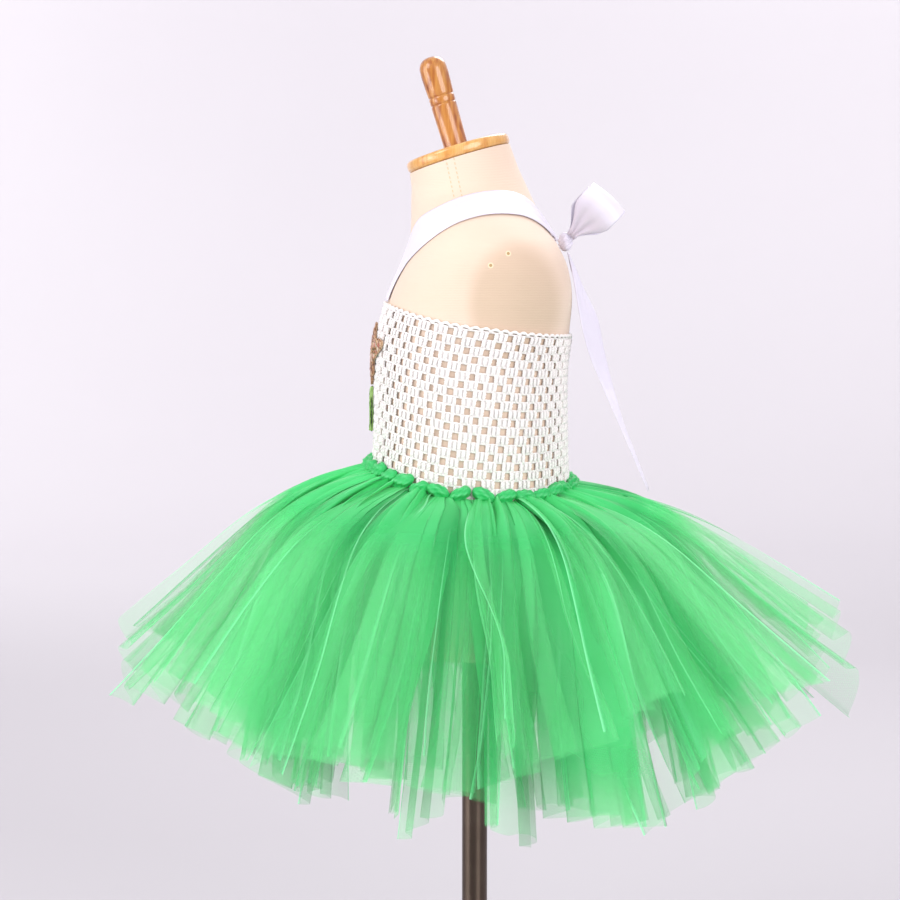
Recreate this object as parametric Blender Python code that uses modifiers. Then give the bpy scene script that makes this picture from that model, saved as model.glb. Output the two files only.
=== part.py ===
"""A child's halter tutu dress, worn by a limbless dress form on a pole and round foot.

Metres, +Z up. The origin is on the floor, under the pole. The dress faces -Y, and the wearer's
left is +X. Every length below is in millimetres and every angle in degrees until it is used.
"""

import math
import random
from collections import namedtuple

import bmesh
import bpy
from mathutils import Matrix, Vector
from mathutils.bvhtree import BVHTree

MM = 0.001
SEAM_GAP = 0.3

# The form's level sections. Front and back are distances along Y, and a section with a lean is
# turned about its own middle so that its front drops. Squareness 2 is an ellipse.
FormRow = namedtuple("FormRow", "height front back half_width squareness lean")
FORM_ROWS = [FormRow(*row) for row in (
    (440, -84, 88, 92, 2.1, 0),
    (452, -88, 93, 98, 2.1, 0),
    (480, -91, 96, 101, 2.1, 0),
    (530, -92, 91, 97, 2.1, 0),
    (590, -90, 82, 89, 2.15, 0),
    (640, -88, 80, 91, 2.2, 0),
    (690, -87, 80, 96, 2.25, 0),
    (725, -84, 84, 101, 2.3, 0),
    (755, -76, 86, 107, 2.4, 0),
    (780, -66, 82, 111, 2.4, 0),
    (798, -60, 74, 109, 2.3, 0),
    (811, -57.5, 66, 99, 2.15, 0),
    (822, -57, 60, 84, 2.1, 0),
    (833, -57, 54.5, 67, 2.0, 0),
    (845, -57, 47.5, 53, 2.0, 4),
    (860, -57.5, 39, 47.5, 2.0, 10),
    (876, -60, 32.5, 45.5, 2.0, 16.6),
)]
# The form's rings lie close together over the shoulders and wide apart below them.
SHOULDER_HEIGHT = 735
SHOULDER_RINGS = 14
TRUNK_RINGS = 8
FORM_SIDES = 40

CAP_RADIUS = 47
CAP_THICKNESS = 10
HANDLE_LENGTH = 83
# Share of the handle's length, and radius, from its foot to where the round top begins.
HANDLE_PROFILE = (
    (0.0, 11.0),
    (0.06, 10.6),
    (0.47, 11.4),
    (0.49, 10.7),
    (0.51, 11.4),
    (0.55, 11.5),
    (0.57, 10.8),
    (0.59, 11.6),
    (0.8, 12.4),
    (0.9, 11.9),
    (0.96, 9.4),
    (0.99, 5.5),
)

POLE_RADIUS = 11.5
SOCKET_RADIUS = 27
SOCKET_THICKNESS = 12
FOOT_RADIUS = 155
FOOT_THICKNESS = 12
FOOT_COLLAR_RADIUS = 19
FOOT_HEIGHT = 46
ROUND_STEPS = 24

# The bodice's two edges: the height at the sides' mean, how much higher the front is than that,
# and how far the sides sag.
BODICE_TOP = (731.5, 14, 6)
WAIST = (597.5, 9, 12)
BODICE_CLEAR = 0.8
BODICE_WALL = 2.0
BODICE_BELOW_WAIST = 19
BODICE_ROWS = 6

TAILS = 32
TAIL_CELLS = 5
TAIL_LENGTH = 290
TAIL_WALL = 1.2
COLLAR_CLEAR = BODICE_CLEAR + BODICE_WALL + SEAM_GAP
COLLAR_HEIGHT = 5
KNOT_BULGE = 2.6
KNOT_RISE = 2.4
# Shares of a tail's length at which it has a row of points.
TAIL_STATIONS = (0.09, 0.24, 0.44, 0.7, 1.0)
Station = namedtuple("Station", "share out down slope")
# A tail's slope at its knot and at its end, as shares of its mean angle, and the share of its
# length by which it has bent from one to the other.
TAIL_FIRST, TAIL_LAST, TAIL_BENT_BY = 0.3, 1.16, 0.55
TAIL_STEPS = 40
# A tail's width as a share of its place on the waist: at the knot, and by how much it spreads.
TAIL_WIDTH, TAIL_SPREAD = 0.94, 0.62
# How far below the horizontal the tails reach, at the front, side and back. Neighbours take the
# two rows of their layer in turn, and start below the waist line by the drop.
LayerRow = namedtuple("LayerRow", "layer drop front side back")
LAYER_ROWS = [LayerRow(*row) for row in (
    ("upper", 0, 37, 37, 27),
    ("upper", 0, 46, 47, 38),
    ("lower", 8.5, 57, 58, 51),
    ("lower", 8.5, 68, 69, 63),
)]
# Height of each point across a tail over its mean surface, as a share of the fold depth.
FOLD_PATTERN = (0.1, 0.8, -0.7, 0.9, -0.8, 0.0)
FOLD_DEPTH = 9
SECTORS = ("front_left", "back_left", "back_right", "front_right")
# How far a quarter's collar stops short of its neighbour's, in the collar's columns.
SECTOR_INSET = 0.12

RIBBON_WIDTH = 38
RIBBON_WALL = 1.0
RIBBON_CLEAR = 0.9
# The left half of the halter, along the form from the bodice's front edge to the knot: the angle
# from the front, the height, and the ribbon's width there.
HalterRow = namedtuple("HalterRow", "angle height width")
HALTER_ROWS = [HalterRow(*row) for row in (
    (9, 751, 17),
    (10, 768, 23),
    (14.5, 786, 31),
    (26, 802, 37),
    (57, 820, 38),
    (90, 831, 36),
    (124, 833, 34),
    (150, 827, 32),
    (168, 815, 24),
    (174, 806, 15),
)]
HALTER_STEPS = 26
HALTER_CELLS = 3
BOW_CELLS = 2

KNOT_CENTRE = Vector((0, 80.5, 803))
KNOT_RADII = Vector((7.5, 7.5, 9.5))
KNOT_PLEAT = 0.06
KNOT_PLEATS = 5
LOOP_LENGTH = 55
LOOP_DEPTH = 12
LOOP_STEPS = 16
# The loop's width at the knot as a share of the ribbon's, and half the gap between its two ends.
LOOP_PINCH = 0.22
LOOP_ENDS_APART = 1.2
LOOP_CLEAR = 0.6
# Where the loops point, and the way their ribbon's width runs, for the left loop.
LOOP_AXIS = Vector((0.60, 0.56, 0.58))
LOOP_ACROSS = Vector((0, 0.72, -0.69))
# A bow tail's middle line and its width and twist from level, for the left tail.
BowTailRow = namedtuple("BowTailRow", "x y z width twist")
BOW_TAIL_ROWS = [BowTailRow(*row) for row in (
    (6, 82.5, 793.4, 11, 8),
    (13, 91, 765, 26, 20),
    (18, 100, 737, 36, 38),
    (23, 107, 706, 38, 34),
    (27, 117, 675, 38, 22),
    (30, 126, 650, 38, 10),
    (34, 135, 626, 38, 9),
    (41, 152, 585, 38, 18),
)]
BOW_TAIL_STEPS = 14

FLOWER_HEIGHT = 703
FLOWER_RADIUS = 24.5
FLOWER_PETALS = 9
PETAL_DEPTH = 0.12
FLOWER_RISE = 1.8
# Shares of the flower's reach at which it has a ring of points.
FLOWER_RINGS = (0.35, 0.6, 0.8, 1.0)
# The leaves beside the flower: their rise over the level in radians, how far they reach past the
# petals, and their half width in radians.
LEAF_TURN, LEAF_REACH, LEAF_WIDTH = 0.22, 28, 0.2
APPLIQUE_WALL = 1.4
APPLIQUE_CLEAR = COLLAR_CLEAR
# The stem's half widths to the wearer's right and left, with a leaf on each side.
StemRow = namedtuple("StemRow", "height middle right left")
STEM_ROWS = [StemRow(*row) for row in (
    (673.5, 0.0, 1.8, 1.8),
    (668, 0.5, 1.8, 3.0),
    (663, 0.9, 1.8, 9.0),
    (657, 1.0, 2.5, 11.0),
    (651, 0.8, 8.0, 5.0),
    (645, 0.4, 10.5, 1.8),
    (639, 0.0, 5.0, 1.8),
    (634, -0.5, 1.6, 1.6),
)]

COLOURS = {
    "form_cloth": ("#F7E6CB", 0.85, 0.0),
    "wood": ("#C98A48", 0.35, 0.0),
    "bright_metal": ("#B9B7B4", 0.18, 1.0),
    "yarn": ("#F7F3EE", 0.5, 0.0),
    "satin": ("#F6F2F6", 0.3, 0.0),
    "tulle": ("#3FD878", 0.7, 0.0),
    "sequin_gold": ("#9A6A2C", 0.3, 0.6),
    "sequin_green": ("#3E7A34", 0.35, 0.4),
}


def clear_scene():
    for item in list(bpy.data.objects):
        bpy.data.objects.remove(item, do_unlink=True)


def linear(hex_colour):
    """The hex colour's three channels as linear values."""
    shares = [int(hex_colour[i : i + 2], 16) / 255 for i in (1, 3, 5)]
    return [s / 12.92 if s <= 0.04045 else ((s + 0.055) / 1.055) ** 2.4 for s in shares]


def material(name):
    found = bpy.data.materials.get(name)
    if found:
        return found
    colour, roughness, metallic = COLOURS[name]
    made = bpy.data.materials.new(name)
    made.use_nodes = True
    shader = made.node_tree.nodes["Principled BSDF"]
    shader.inputs["Base Color"].default_value = (*linear(colour), 1)
    shader.inputs["Roughness"].default_value = roughness
    shader.inputs["Metallic"].default_value = metallic
    return made


def collection(name):
    found = bpy.data.collections.get(name)
    if not found:
        found = bpy.data.collections.new(name)
        bpy.context.scene.collection.children.link(found)
    return found


def add_object(name, points, faces, finish):
    mesh = bpy.data.meshes.new(name)
    mesh.from_pydata([tuple(p) for p in points], [], faces)
    mesh.materials.append(material(finish))
    mesh.shade_smooth()
    made = bpy.data.objects.new(name, mesh)
    collection("tutu_dress").objects.link(made)
    return made


def thicken(piece, wall):
    """Gives an open surface its wall, on the side that its faces look to."""
    solidify = piece.modifiers.new("wall", "SOLIDIFY")
    solidify.thickness = wall * MM
    solidify.offset = 1
    solidify.use_even_offset = True
    solidify.use_quality_normals = True
    return piece


def grid_faces(rows, columns, wraps=False):
    """Quads of a grid numbered by rows. They face out where rows run down and columns run left."""
    faces = []
    for r in range(rows - 1):
        for c in range(columns if wraps else columns - 1):
            after = (c + 1) % columns
            this_row, next_row = r * columns, (r + 1) * columns
            faces.append((this_row + c, next_row + c, next_row + after, this_row + after))
    return faces


def sheet(name, rows, wall, finish, wraps=False):
    """A thin wall through a grid of points."""
    points = [p for row in rows for p in row]
    piece = add_object(name, points, grid_faces(len(rows), len(rows[0]), wraps), finish)
    return thicken(piece, wall)


def smooth_row(table, at, keys=None):
    """The table's row at a value of its first column or keys, on a curve through its rows."""
    keys = keys or [row[0] for row in table]
    at = min(max(at, keys[0]), keys[-1])
    index = max(i for i, key in enumerate(keys[:-1]) if key <= at)
    span = keys[index + 1] - keys[index]
    t = (at - keys[index]) / span

    def slope(i, column):
        low, high = max(i - 1, 0), min(i + 1, len(keys) - 1)
        return (table[high][column] - table[low][column]) / (keys[high] - keys[low]) * span

    values = []
    for column in range(len(table[0])):
        values.append(
            (2 * t**3 - 3 * t**2 + 1) * table[index][column]
            + (t**3 - 2 * t**2 + t) * slope(index, column)
            + (3 * t**2 - 2 * t**3) * table[index + 1][column]
            + (t**3 - t**2) * slope(index + 1, column)
        )
    return type(table[0])(*values)


def along_rows(table, share):
    """The table's row at a share of the way from its first row to its last."""
    return smooth_row(table, (len(table) - 1) * share, keys=list(range(len(table))))


def powered(value, power):
    return math.copysign(abs(value) ** power, value)


def smoothstep(low, high, value):
    t = min(max((value - low) / (high - low), 0), 1)
    return t * t * (3 - 2 * t)


def form_point(angle, height):
    """A point of the form's skin, at an angle from the front towards the wearer's left."""
    row = smooth_row(FORM_ROWS, height)
    turn, power = math.radians(angle), 2 / row.squareness
    x = row.half_width * powered(math.sin(turn), power)
    along = -(row.back - row.front) / 2 * powered(math.cos(turn), power)
    tip = math.radians(row.lean)
    y = (row.front + row.back) / 2 + along * math.cos(tip)
    return Vector((x, y, height + along * math.sin(tip))) * MM


def over_form(angle, height, distance):
    """A point at a distance in millimetres outside the form's skin."""
    step = 0.5
    around = form_point(angle + step, height) - form_point(angle - step, height)
    down = form_point(angle, height - step) - form_point(angle, height + step)
    return form_point(angle, height) + down.cross(around).normalized() * distance * MM


def edge_height(edge, angle):
    """The height of one of the bodice's edges at an angle from the front."""
    level, rise, sag = edge
    turn = math.radians(angle)
    return level + rise * math.cos(turn) - sag * math.sin(turn) ** 2


def angle_of_x(x, height):
    """The angle at which the front of the form lies x millimetres to the wearer's left."""
    row = smooth_row(FORM_ROWS, height)
    return math.degrees(math.asin(powered(x / row.half_width, row.squareness / 2)))


def mirrored(rows):
    return [[Vector((-p.x, p.y, p.z)) for p in reversed(row)] for row in rows]


def form_rows():
    """The form's rings from the top of the neck down."""
    low, high = FORM_ROWS[0].height, FORM_ROWS[-1].height
    above, below = high - SHOULDER_HEIGHT, SHOULDER_HEIGHT - low
    heights = [high - above * i / SHOULDER_RINGS for i in range(SHOULDER_RINGS)]
    heights += [SHOULDER_HEIGHT - below * i / TRUNK_RINGS for i in range(TRUNK_RINGS + 1)]
    angles = [360 * c / FORM_SIDES for c in range(FORM_SIDES)]
    return [[form_point(angle, height) for angle in angles] for height in heights]


def build_torso():
    rows = form_rows()
    faces = grid_faces(len(rows), FORM_SIDES, wraps=True)
    faces.append(tuple(range(FORM_SIDES)))
    faces.append(tuple(reversed(range((len(rows) - 1) * FORM_SIDES, len(rows) * FORM_SIDES))))
    return add_object("torso", [p for row in rows for p in row], faces, "form_cloth")


def turned(name, profile, finish, steps=ROUND_STEPS):
    """A solid turned about its own Z from (radius, height) pairs, from the top down."""
    points = [Vector((radius, 0, height)) * MM for radius, height in profile]
    piece = add_object(name, points, [], finish)
    piece.data.edges.add(len(points) - 1)
    for i, edge in enumerate(piece.data.edges):
        edge.vertices = (i, i + 1)
    screw = piece.modifiers.new("turn", "SCREW")
    screw.axis = "Z"
    screw.steps = screw.render_steps = steps
    screw.use_merge_vertices = True
    screw.merge_threshold = 0.00001
    screw.use_smooth_shade = True
    return piece


def rounded_edge(radius, low, high):
    """The profile of a round-edged disc's rim, from its top face to its bottom face."""
    half = (high - low) / 2
    middle = (high + low) / 2
    turns = [math.radians(a) for a in (90, 60, 30, 0, -30, -60, -90)]
    return [(radius - half + half * math.cos(t), middle + half * math.sin(t)) for t in turns]


def neck_place(above):
    """The place and turn of something set above the neck's top along its leaning axis."""
    top = FORM_ROWS[-1]
    turn = Matrix.Rotation(math.radians(top.lean), 4, "X")
    middle = Vector((0, (top.front + top.back) / 2, top.height)) * MM
    return Matrix.Translation(middle + turn @ Vector((0, 0, above * MM))) @ turn


def build_neck_cap():
    cap = turned(
        "neck_cap",
        [(0, CAP_THICKNESS), *rounded_edge(CAP_RADIUS, 0, CAP_THICKNESS), (0, 0)],
        "wood",
    )
    cap.matrix_world = neck_place(SEAM_GAP)
    return cap


def build_neck_handle():
    outline = [(radius, share * HANDLE_LENGTH) for share, radius in reversed(HANDLE_PROFILE)]
    handle = turned("neck_handle", [(0, HANDLE_LENGTH), *outline, (0, 0)], "wood")
    handle.matrix_world = neck_place(CAP_THICKNESS + 2 * SEAM_GAP)
    return handle


def build_stand():
    """The foot with its collar, the pole on it, and the socket under the form."""
    socket_low = FORM_ROWS[0].height - SEAM_GAP - SOCKET_THICKNESS
    collar_low = FOOT_THICKNESS + 10
    foot = [
        (0, FOOT_HEIGHT),
        (FOOT_COLLAR_RADIUS - 2, FOOT_HEIGHT),
        (FOOT_COLLAR_RADIUS, FOOT_HEIGHT - 2),
        (FOOT_COLLAR_RADIUS, collar_low),
        (FOOT_COLLAR_RADIUS + 5, collar_low - 5),
        (FOOT_RADIUS - 12, FOOT_THICKNESS),
        (FOOT_RADIUS - 3, FOOT_THICKNESS - 3),
        (FOOT_RADIUS, FOOT_THICKNESS - 7),
        (FOOT_RADIUS, 0),
        (0, 0),
    ]
    turned("base", foot, "bright_metal", steps=36)
    low = FOOT_HEIGHT + SEAM_GAP
    high = socket_low - SEAM_GAP
    bpy.ops.mesh.primitive_cylinder_add(
        vertices=ROUND_STEPS,
        radius=POLE_RADIUS * MM,
        depth=(high - low) * MM,
        location=(0, 0, (high + low) / 2 * MM),
    )
    pole = bpy.context.object
    pole.name = "pole"
    pole.data.materials.append(material("bright_metal"))
    for owner in list(pole.users_collection):
        owner.objects.unlink(pole)
    collection("tutu_dress").objects.link(pole)
    socket = [
        (0, SOCKET_THICKNESS),
        (SOCKET_RADIUS, SOCKET_THICKNESS),
        (SOCKET_RADIUS, SOCKET_THICKNESS - 4),
        (POLE_RADIUS + 5, SOCKET_THICKNESS - 6),
        (POLE_RADIUS + 5, 0),
        (0, 0),
    ]
    flange = turned("pole_socket", socket, "bright_metal")
    flange.location.z = socket_low * MM


def build_bodice():
    rows = []
    for r in range(BODICE_ROWS + 1):
        share = r / BODICE_ROWS
        row = []
        for c in range(FORM_SIDES):
            angle = 360 * c / FORM_SIDES
            high = edge_height(BODICE_TOP, angle)
            low = edge_height(WAIST, angle) - BODICE_BELOW_WAIST
            row.append(over_form(angle, high + (low - high) * share, BODICE_CLEAR))
        rows.append(row)
    return sheet("bodice", rows, BODICE_WALL, "yarn", wraps=True)


def front_patch(x, height, distance):
    """A point over the front of the bodice."""
    return over_form(angle_of_x(x, height), height, distance)


def flower_reach(turn):
    """How far the flower reaches from its middle: round petals, and a long leaf at each side."""
    petals = FLOWER_RADIUS * (1 + PETAL_DEPTH * math.cos(FLOWER_PETALS * turn))
    leaf = 0
    for side in (LEAF_TURN, math.pi - LEAF_TURN):
        apart = math.remainder(turn - side, 2 * math.pi)
        leaf += LEAF_REACH * math.exp(-((apart / LEAF_WIDTH) ** 2))
    return petals + leaf


def build_flower():
    """A round flower head between two long leaves, over the front of the bodice."""
    around = FLOWER_PETALS * 5
    points = [front_patch(0, FLOWER_HEIGHT, APPLIQUE_CLEAR + FLOWER_RISE)]
    for share in FLOWER_RINGS:
        for i in range(around):
            turn = 2 * math.pi * i / around
            reach = flower_reach(turn) * share
            x, z = reach * math.cos(turn), reach * math.sin(turn)
            rise = FLOWER_RISE * (1 - share**3)
            points.append(front_patch(x, FLOWER_HEIGHT + z, APPLIQUE_CLEAR + rise))
    faces = [(0, 1 + i, 1 + (i + 1) % around) for i in range(around)]
    for ring in range(len(FLOWER_RINGS) - 1):
        inner, outer = 1 + ring * around, 1 + (ring + 1) * around
        for i in range(around):
            after = (i + 1) % around
            faces.append((inner + i, outer + i, outer + after, inner + after))
    return thicken(add_object("applique_flower", points, faces, "sequin_gold"), APPLIQUE_WALL)


def build_stem():
    rows = []
    for height, middle, right, left in STEM_ROWS:
        across = (-right, -right / 2, 0, left / 2, left)
        rows.append([front_patch(middle + x, height, APPLIQUE_CLEAR) for x in across])
    return sheet("applique_stem", rows, APPLIQUE_WALL, "sequin_green")


def tail_angle(layer_row, turn):
    """The tail's mean angle below the horizontal, for a place round the waist."""
    facing = math.cos(turn)
    end = layer_row.front if facing > 0 else layer_row.back
    return layer_row.side + (end - layer_row.side) * facing * facing


def tail_profile(mean_angle, length):
    """The tail's stations. It leaves its knot at a low slope and falls to a steeper one."""
    step = length / TAIL_STEPS
    out = down = 0
    found = []
    for i in range(TAIL_STEPS):
        share = (i + 1) / TAIL_STEPS
        turned_down = smoothstep(0, TAIL_BENT_BY, (i + 0.5) / TAIL_STEPS)
        slope = math.radians(mean_angle * (TAIL_FIRST + (TAIL_LAST - TAIL_FIRST) * turned_down))
        out += step * math.cos(slope)
        down += step * math.sin(slope)
        reached = [s for s in TAIL_STATIONS if share >= s - 0.5 / TAIL_STEPS]
        if len(reached) > len(found):
            found.append(Station(share, out, down, slope))
    return found


def collar_point(column, drop, bulge, rise):
    """A point of the knotted collar. Columns are counted from the front, TAIL_CELLS to a tail."""
    angle = 360 * column / (TAILS * TAIL_CELLS)
    return over_form(angle, edge_height(WAIST, angle) - drop + rise, COLLAR_CLEAR + bulge)


def tail_points(number, layer_row, roots, chance):
    """The rows of points of one tail beyond its collar."""
    middle_column = (number + 0.5) * TAIL_CELLS
    root = collar_point(middle_column, layer_row.drop + COLLAR_HEIGHT, KNOT_BULGE / 2, 0)
    turn = math.radians(360 * (number + 0.5) / TAILS + chance.uniform(-1.2, 1.2))
    outward = Vector((math.sin(turn), -math.cos(turn), 0))
    leftward = Vector((math.cos(turn), math.sin(turn), 0))
    upward = Vector((0, 0, 1))
    mean_angle = tail_angle(layer_row, turn) + chance.uniform(-1.6, 1.6)
    length = TAIL_LENGTH * chance.uniform(0.95, 1.03)
    pattern = [share * chance.uniform(0.7, 1.15) for share in FOLD_PATTERN]
    slant = chance.uniform(-0.035, 0.035)
    waist_radius = math.hypot(root.x, root.y) / MM
    rows = []
    for station in tail_profile(mean_angle, length):
        radius = waist_radius + station.out
        spread = TAIL_WIDTH + TAIL_SPREAD * smoothstep(0.2, 1, station.share)
        half_width = math.pi * radius / TAILS * spread
        normal = outward * math.sin(station.slope) + upward * math.cos(station.slope)
        along = outward * math.cos(station.slope) - upward * math.sin(station.slope)
        middle = root + (outward * station.out - upward * station.down) * MM
        unsettled = 1 - smoothstep(0, 0.3, station.share)
        row = []
        for c in range(TAIL_CELLS + 1):
            u = 2 * c / TAIL_CELLS - 1
            side = u * half_width
            from_root = roots[c] - root
            bow = from_root - leftward * from_root.dot(leftward)
            rise = FOLD_DEPTH * station.share**0.85 * pattern[c] - side**2 / (2.2 * radius)
            uneven = slant * u * length * station.share**2
            shift = leftward * side + normal * rise + along * uneven
            row.append(middle + bow * unsettled + shift * MM)
        rows.append(row)
    return rows


def build_skirt_sector(layer, sector, chance):
    """A quarter of a layer: a knotted collar, and the tails that fan out from it."""
    surface = bmesh.new()
    per_sector = TAILS // len(SECTORS)
    first = SECTORS.index(sector) * per_sector
    rows_of_layer = [row for row in LAYER_ROWS if row.layer == layer]
    drop = rows_of_layer[0].drop
    columns = per_sector * TAIL_CELLS
    collar = []
    for c in range(columns + 1):
        inset = {0: SECTOR_INSET, columns: -SECTOR_INSET}.get(c, 0)
        column = first * TAIL_CELLS + c + inset
        knot = math.sin(math.pi * (c % TAIL_CELLS) / TAIL_CELLS)
        top = collar_point(column, drop, 0.35 * KNOT_BULGE * knot, KNOT_RISE * knot)
        low = collar_point(column, drop + COLLAR_HEIGHT, KNOT_BULGE * (0.35 + 0.65 * knot), 0)
        collar.append((surface.verts.new(top), surface.verts.new(low)))
    for left, right in zip(collar, collar[1:]):
        surface.faces.new((left[0], left[1], right[1], right[0]))
    for i in range(per_sector):
        roots = [collar[i * TAIL_CELLS + c][1] for c in range(TAIL_CELLS + 1)]
        layer_row = rows_of_layer[i % 2]
        above = roots
        for row in tail_points(first + i, layer_row, [v.co.copy() for v in roots], chance):
            below = [surface.verts.new(p) for p in row]
            for c in range(TAIL_CELLS):
                surface.faces.new((above[c], below[c], below[c + 1], above[c + 1]))
            above = below
    mesh = bpy.data.meshes.new(f"skirt_{layer}_{sector}")
    surface.to_mesh(mesh)
    surface.free()
    mesh.materials.append(material("tulle"))
    mesh.shade_smooth()
    piece = bpy.data.objects.new(mesh.name, mesh)
    collection("tutu_dress").objects.link(piece)
    return thicken(piece, TAIL_WALL)


def build_skirt():
    chance = random.Random(32)
    for layer in ("upper", "lower"):
        for sector in SECTORS:
            build_skirt_sector(layer, sector, chance)


def build_halter():
    """The left ribbon, laid on the form, and its mirror image."""
    rows = form_rows()
    points = [p for row in rows for p in row]
    skin = BVHTree.FromPolygons(points, grid_faces(len(rows), FORM_SIDES, wraps=True))
    stops = [along_rows(HALTER_ROWS, i / HALTER_STEPS) for i in range(HALTER_STEPS + 1)]
    path = [over_form(stop.angle, stop.height, RIBBON_CLEAR) for stop in stops]
    bands = [[] for _ in range(HALTER_CELLS + 1)]
    for i, (middle, stop) in enumerate(zip(path, stops)):
        before, after = path[max(i - 1, 0)], path[min(i + 1, HALTER_STEPS)]
        _, out, _, _ = skin.find_nearest(middle)
        across = (after - before).cross(out).normalized()
        for r, band in enumerate(bands):
            wanted = middle + across * (r / HALTER_CELLS - 0.5) * stop.width * MM
            place, _, _, _ = skin.find_nearest(wanted)
            lift = wanted - place
            lift = lift if lift.dot(out) > 0 else -lift
            lift = lift.normalized() if lift.length > 1e-5 else out
            band.append(place + lift * RIBBON_CLEAR * MM)
    sheet("halter_left", bands, RIBBON_WALL, "satin")
    sheet("halter_right", mirrored(bands), RIBBON_WALL, "satin")


def knot_pleat(direction):
    """How much the knot's pleats widen or narrow it in a direction from its centre."""
    return 1 + KNOT_PLEAT * math.cos(KNOT_PLEATS * math.atan2(direction.y, direction.x))


def build_bow_knot():
    bpy.ops.mesh.primitive_uv_sphere_add(segments=20, ring_count=8, radius=1)
    knot = bpy.context.object
    knot.name = "bow_knot"
    for vertex in knot.data.vertices:
        pleat = knot_pleat(vertex.co)
        radii = Vector((KNOT_RADII.x * pleat, KNOT_RADII.y * pleat, KNOT_RADII.z))
        vertex.co = (vertex.co * radii + KNOT_CENTRE) * MM
    knot.data.materials.append(material("satin"))
    knot.data.shade_smooth()
    for owner in list(knot.users_collection):
        owner.objects.unlink(knot)
    collection("tutu_dress").objects.link(knot)


def build_bow_loops():
    """Each loop is one band of ribbon that leaves the knot, turns round and comes back to it."""
    axis, across = LOOP_AXIS.normalized(), LOOP_ACROSS.normalized()
    depth = axis.cross(across)
    pleat = knot_pleat(axis)
    radii = Vector((KNOT_RADII.x * pleat, KNOT_RADII.y * pleat, KNOT_RADII.z))
    knot_edge = 1 / Vector(a / r for a, r in zip(axis, radii)).length
    start = KNOT_CENTRE + axis * (knot_edge + LOOP_CLEAR)
    bands = []
    for r in range(BOW_CELLS + 1):
        band = []
        for i in range(LOOP_STEPS + 1):
            share = i / LOOP_STEPS
            reach = math.sin(math.pi * share) ** 0.8
            width = RIBBON_WIDTH * (LOOP_PINCH + (1 - LOOP_PINCH) * smoothstep(0, 0.75, reach))
            open_by = LOOP_DEPTH * math.sin(2 * math.pi * share) * (0.4 + 0.6 * reach)
            open_by += LOOP_ENDS_APART * math.cos(math.pi * share)
            side = (0.5 - r / BOW_CELLS) * width
            place = start + axis * LOOP_LENGTH * reach + depth * open_by + across * side
            band.append(place * MM)
        bands.append(band)
    sheet("bow_loop_left", bands, RIBBON_WALL, "satin")
    sheet("bow_loop_right", mirrored(bands), RIBBON_WALL, "satin")


def build_bow_tails():
    rows = []
    for i in range(BOW_TAIL_STEPS + 1):
        stop = along_rows(BOW_TAIL_ROWS, i / BOW_TAIL_STEPS)
        turn = math.radians(stop.twist)
        across = Vector((math.cos(turn), math.sin(turn), 0))
        middle = Vector((stop.x, stop.y, stop.z))
        shares = [0.5 - c / BOW_CELLS for c in range(BOW_CELLS + 1)]
        rows.append([(middle + across * share * stop.width) * MM for share in shares])
    sheet("bow_tail_left", rows, RIBBON_WALL, "satin")
    sheet("bow_tail_right", mirrored(rows), RIBBON_WALL, "satin")


def main():
    clear_scene()
    build_torso()
    build_neck_cap()
    build_neck_handle()
    build_stand()
    build_bodice()
    build_flower()
    build_stem()
    build_skirt()
    build_halter()
    build_bow_knot()
    build_bow_loops()
    build_bow_tails()


main()
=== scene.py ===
import math
import random
from collections import namedtuple

import bpy
import numpy as np
from mathutils import Matrix, Vector
from mathutils.bvhtree import BVHTree


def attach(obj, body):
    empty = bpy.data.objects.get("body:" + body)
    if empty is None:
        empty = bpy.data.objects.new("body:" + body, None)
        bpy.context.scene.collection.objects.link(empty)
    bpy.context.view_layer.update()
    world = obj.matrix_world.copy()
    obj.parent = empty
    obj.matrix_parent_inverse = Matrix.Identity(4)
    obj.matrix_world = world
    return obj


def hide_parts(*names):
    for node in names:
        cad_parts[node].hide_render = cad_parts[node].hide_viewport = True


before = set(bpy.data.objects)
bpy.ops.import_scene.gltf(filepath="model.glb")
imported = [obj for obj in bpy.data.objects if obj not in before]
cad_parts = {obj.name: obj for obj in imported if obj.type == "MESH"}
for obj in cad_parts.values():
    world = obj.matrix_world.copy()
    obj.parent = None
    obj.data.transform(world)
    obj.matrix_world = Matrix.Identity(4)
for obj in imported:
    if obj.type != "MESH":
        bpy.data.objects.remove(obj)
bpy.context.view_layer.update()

# Lengths are in millimetres and angles in degrees until they are used. The dress faces -Y, the
# wearer's left is +X, and the origin is on the floor under the pole.
MM = 0.001
SEAM_GAP = 0.3
# Points that are closer than this, in metres, are one.
WELD = 0.000001

# The photograph's frame: the floor's row, the pole's column, the eye's row, and the size of a
# pixel in the plane of the pole.
PHOTO_SIDE = 900
FLOOR_ROW, POLE_COLUMN, EYE_ROW = 1135, 475, 300
PIXEL = 0.9
CAMERA_DISTANCE = 1750
SENSOR_WIDTH = 36
STAGE_RADIUS, STAGE_HEIGHT, STAGE_CURVE = 6000, 3000, 1800

# A Mix node's colour sockets and its settings for colours, and a Wave node's period at scale 1.
MIX_A, MIX_B = 6, 7
COLOURS = {"data_type": "RGBA", "output": 2}
WAVE_PERIOD = math.pi / 10

# The form's marks: the arm plate's middle and half sizes along Y and Z, the neck seam with its
# thread and length of stitch, and the angles and heights where pins went in.
# The arm plate's disc is painted darker, as shade on the form's side.
PLATE_CENTRE = (33, 747)
PLATE_RADII = (38, 50)
NECK_SEAM_LEAN = math.radians(11.8)
NECK_SEAM_AT = 156.5
NECK_SEAM_HALF = 3.4
SHOULDER_SEAM_END = 822
SEAM_THREAD, SEAM_STITCH = 0.45, 4
PIN_MARKS = ((91.5, 780), (102, 790))

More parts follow.
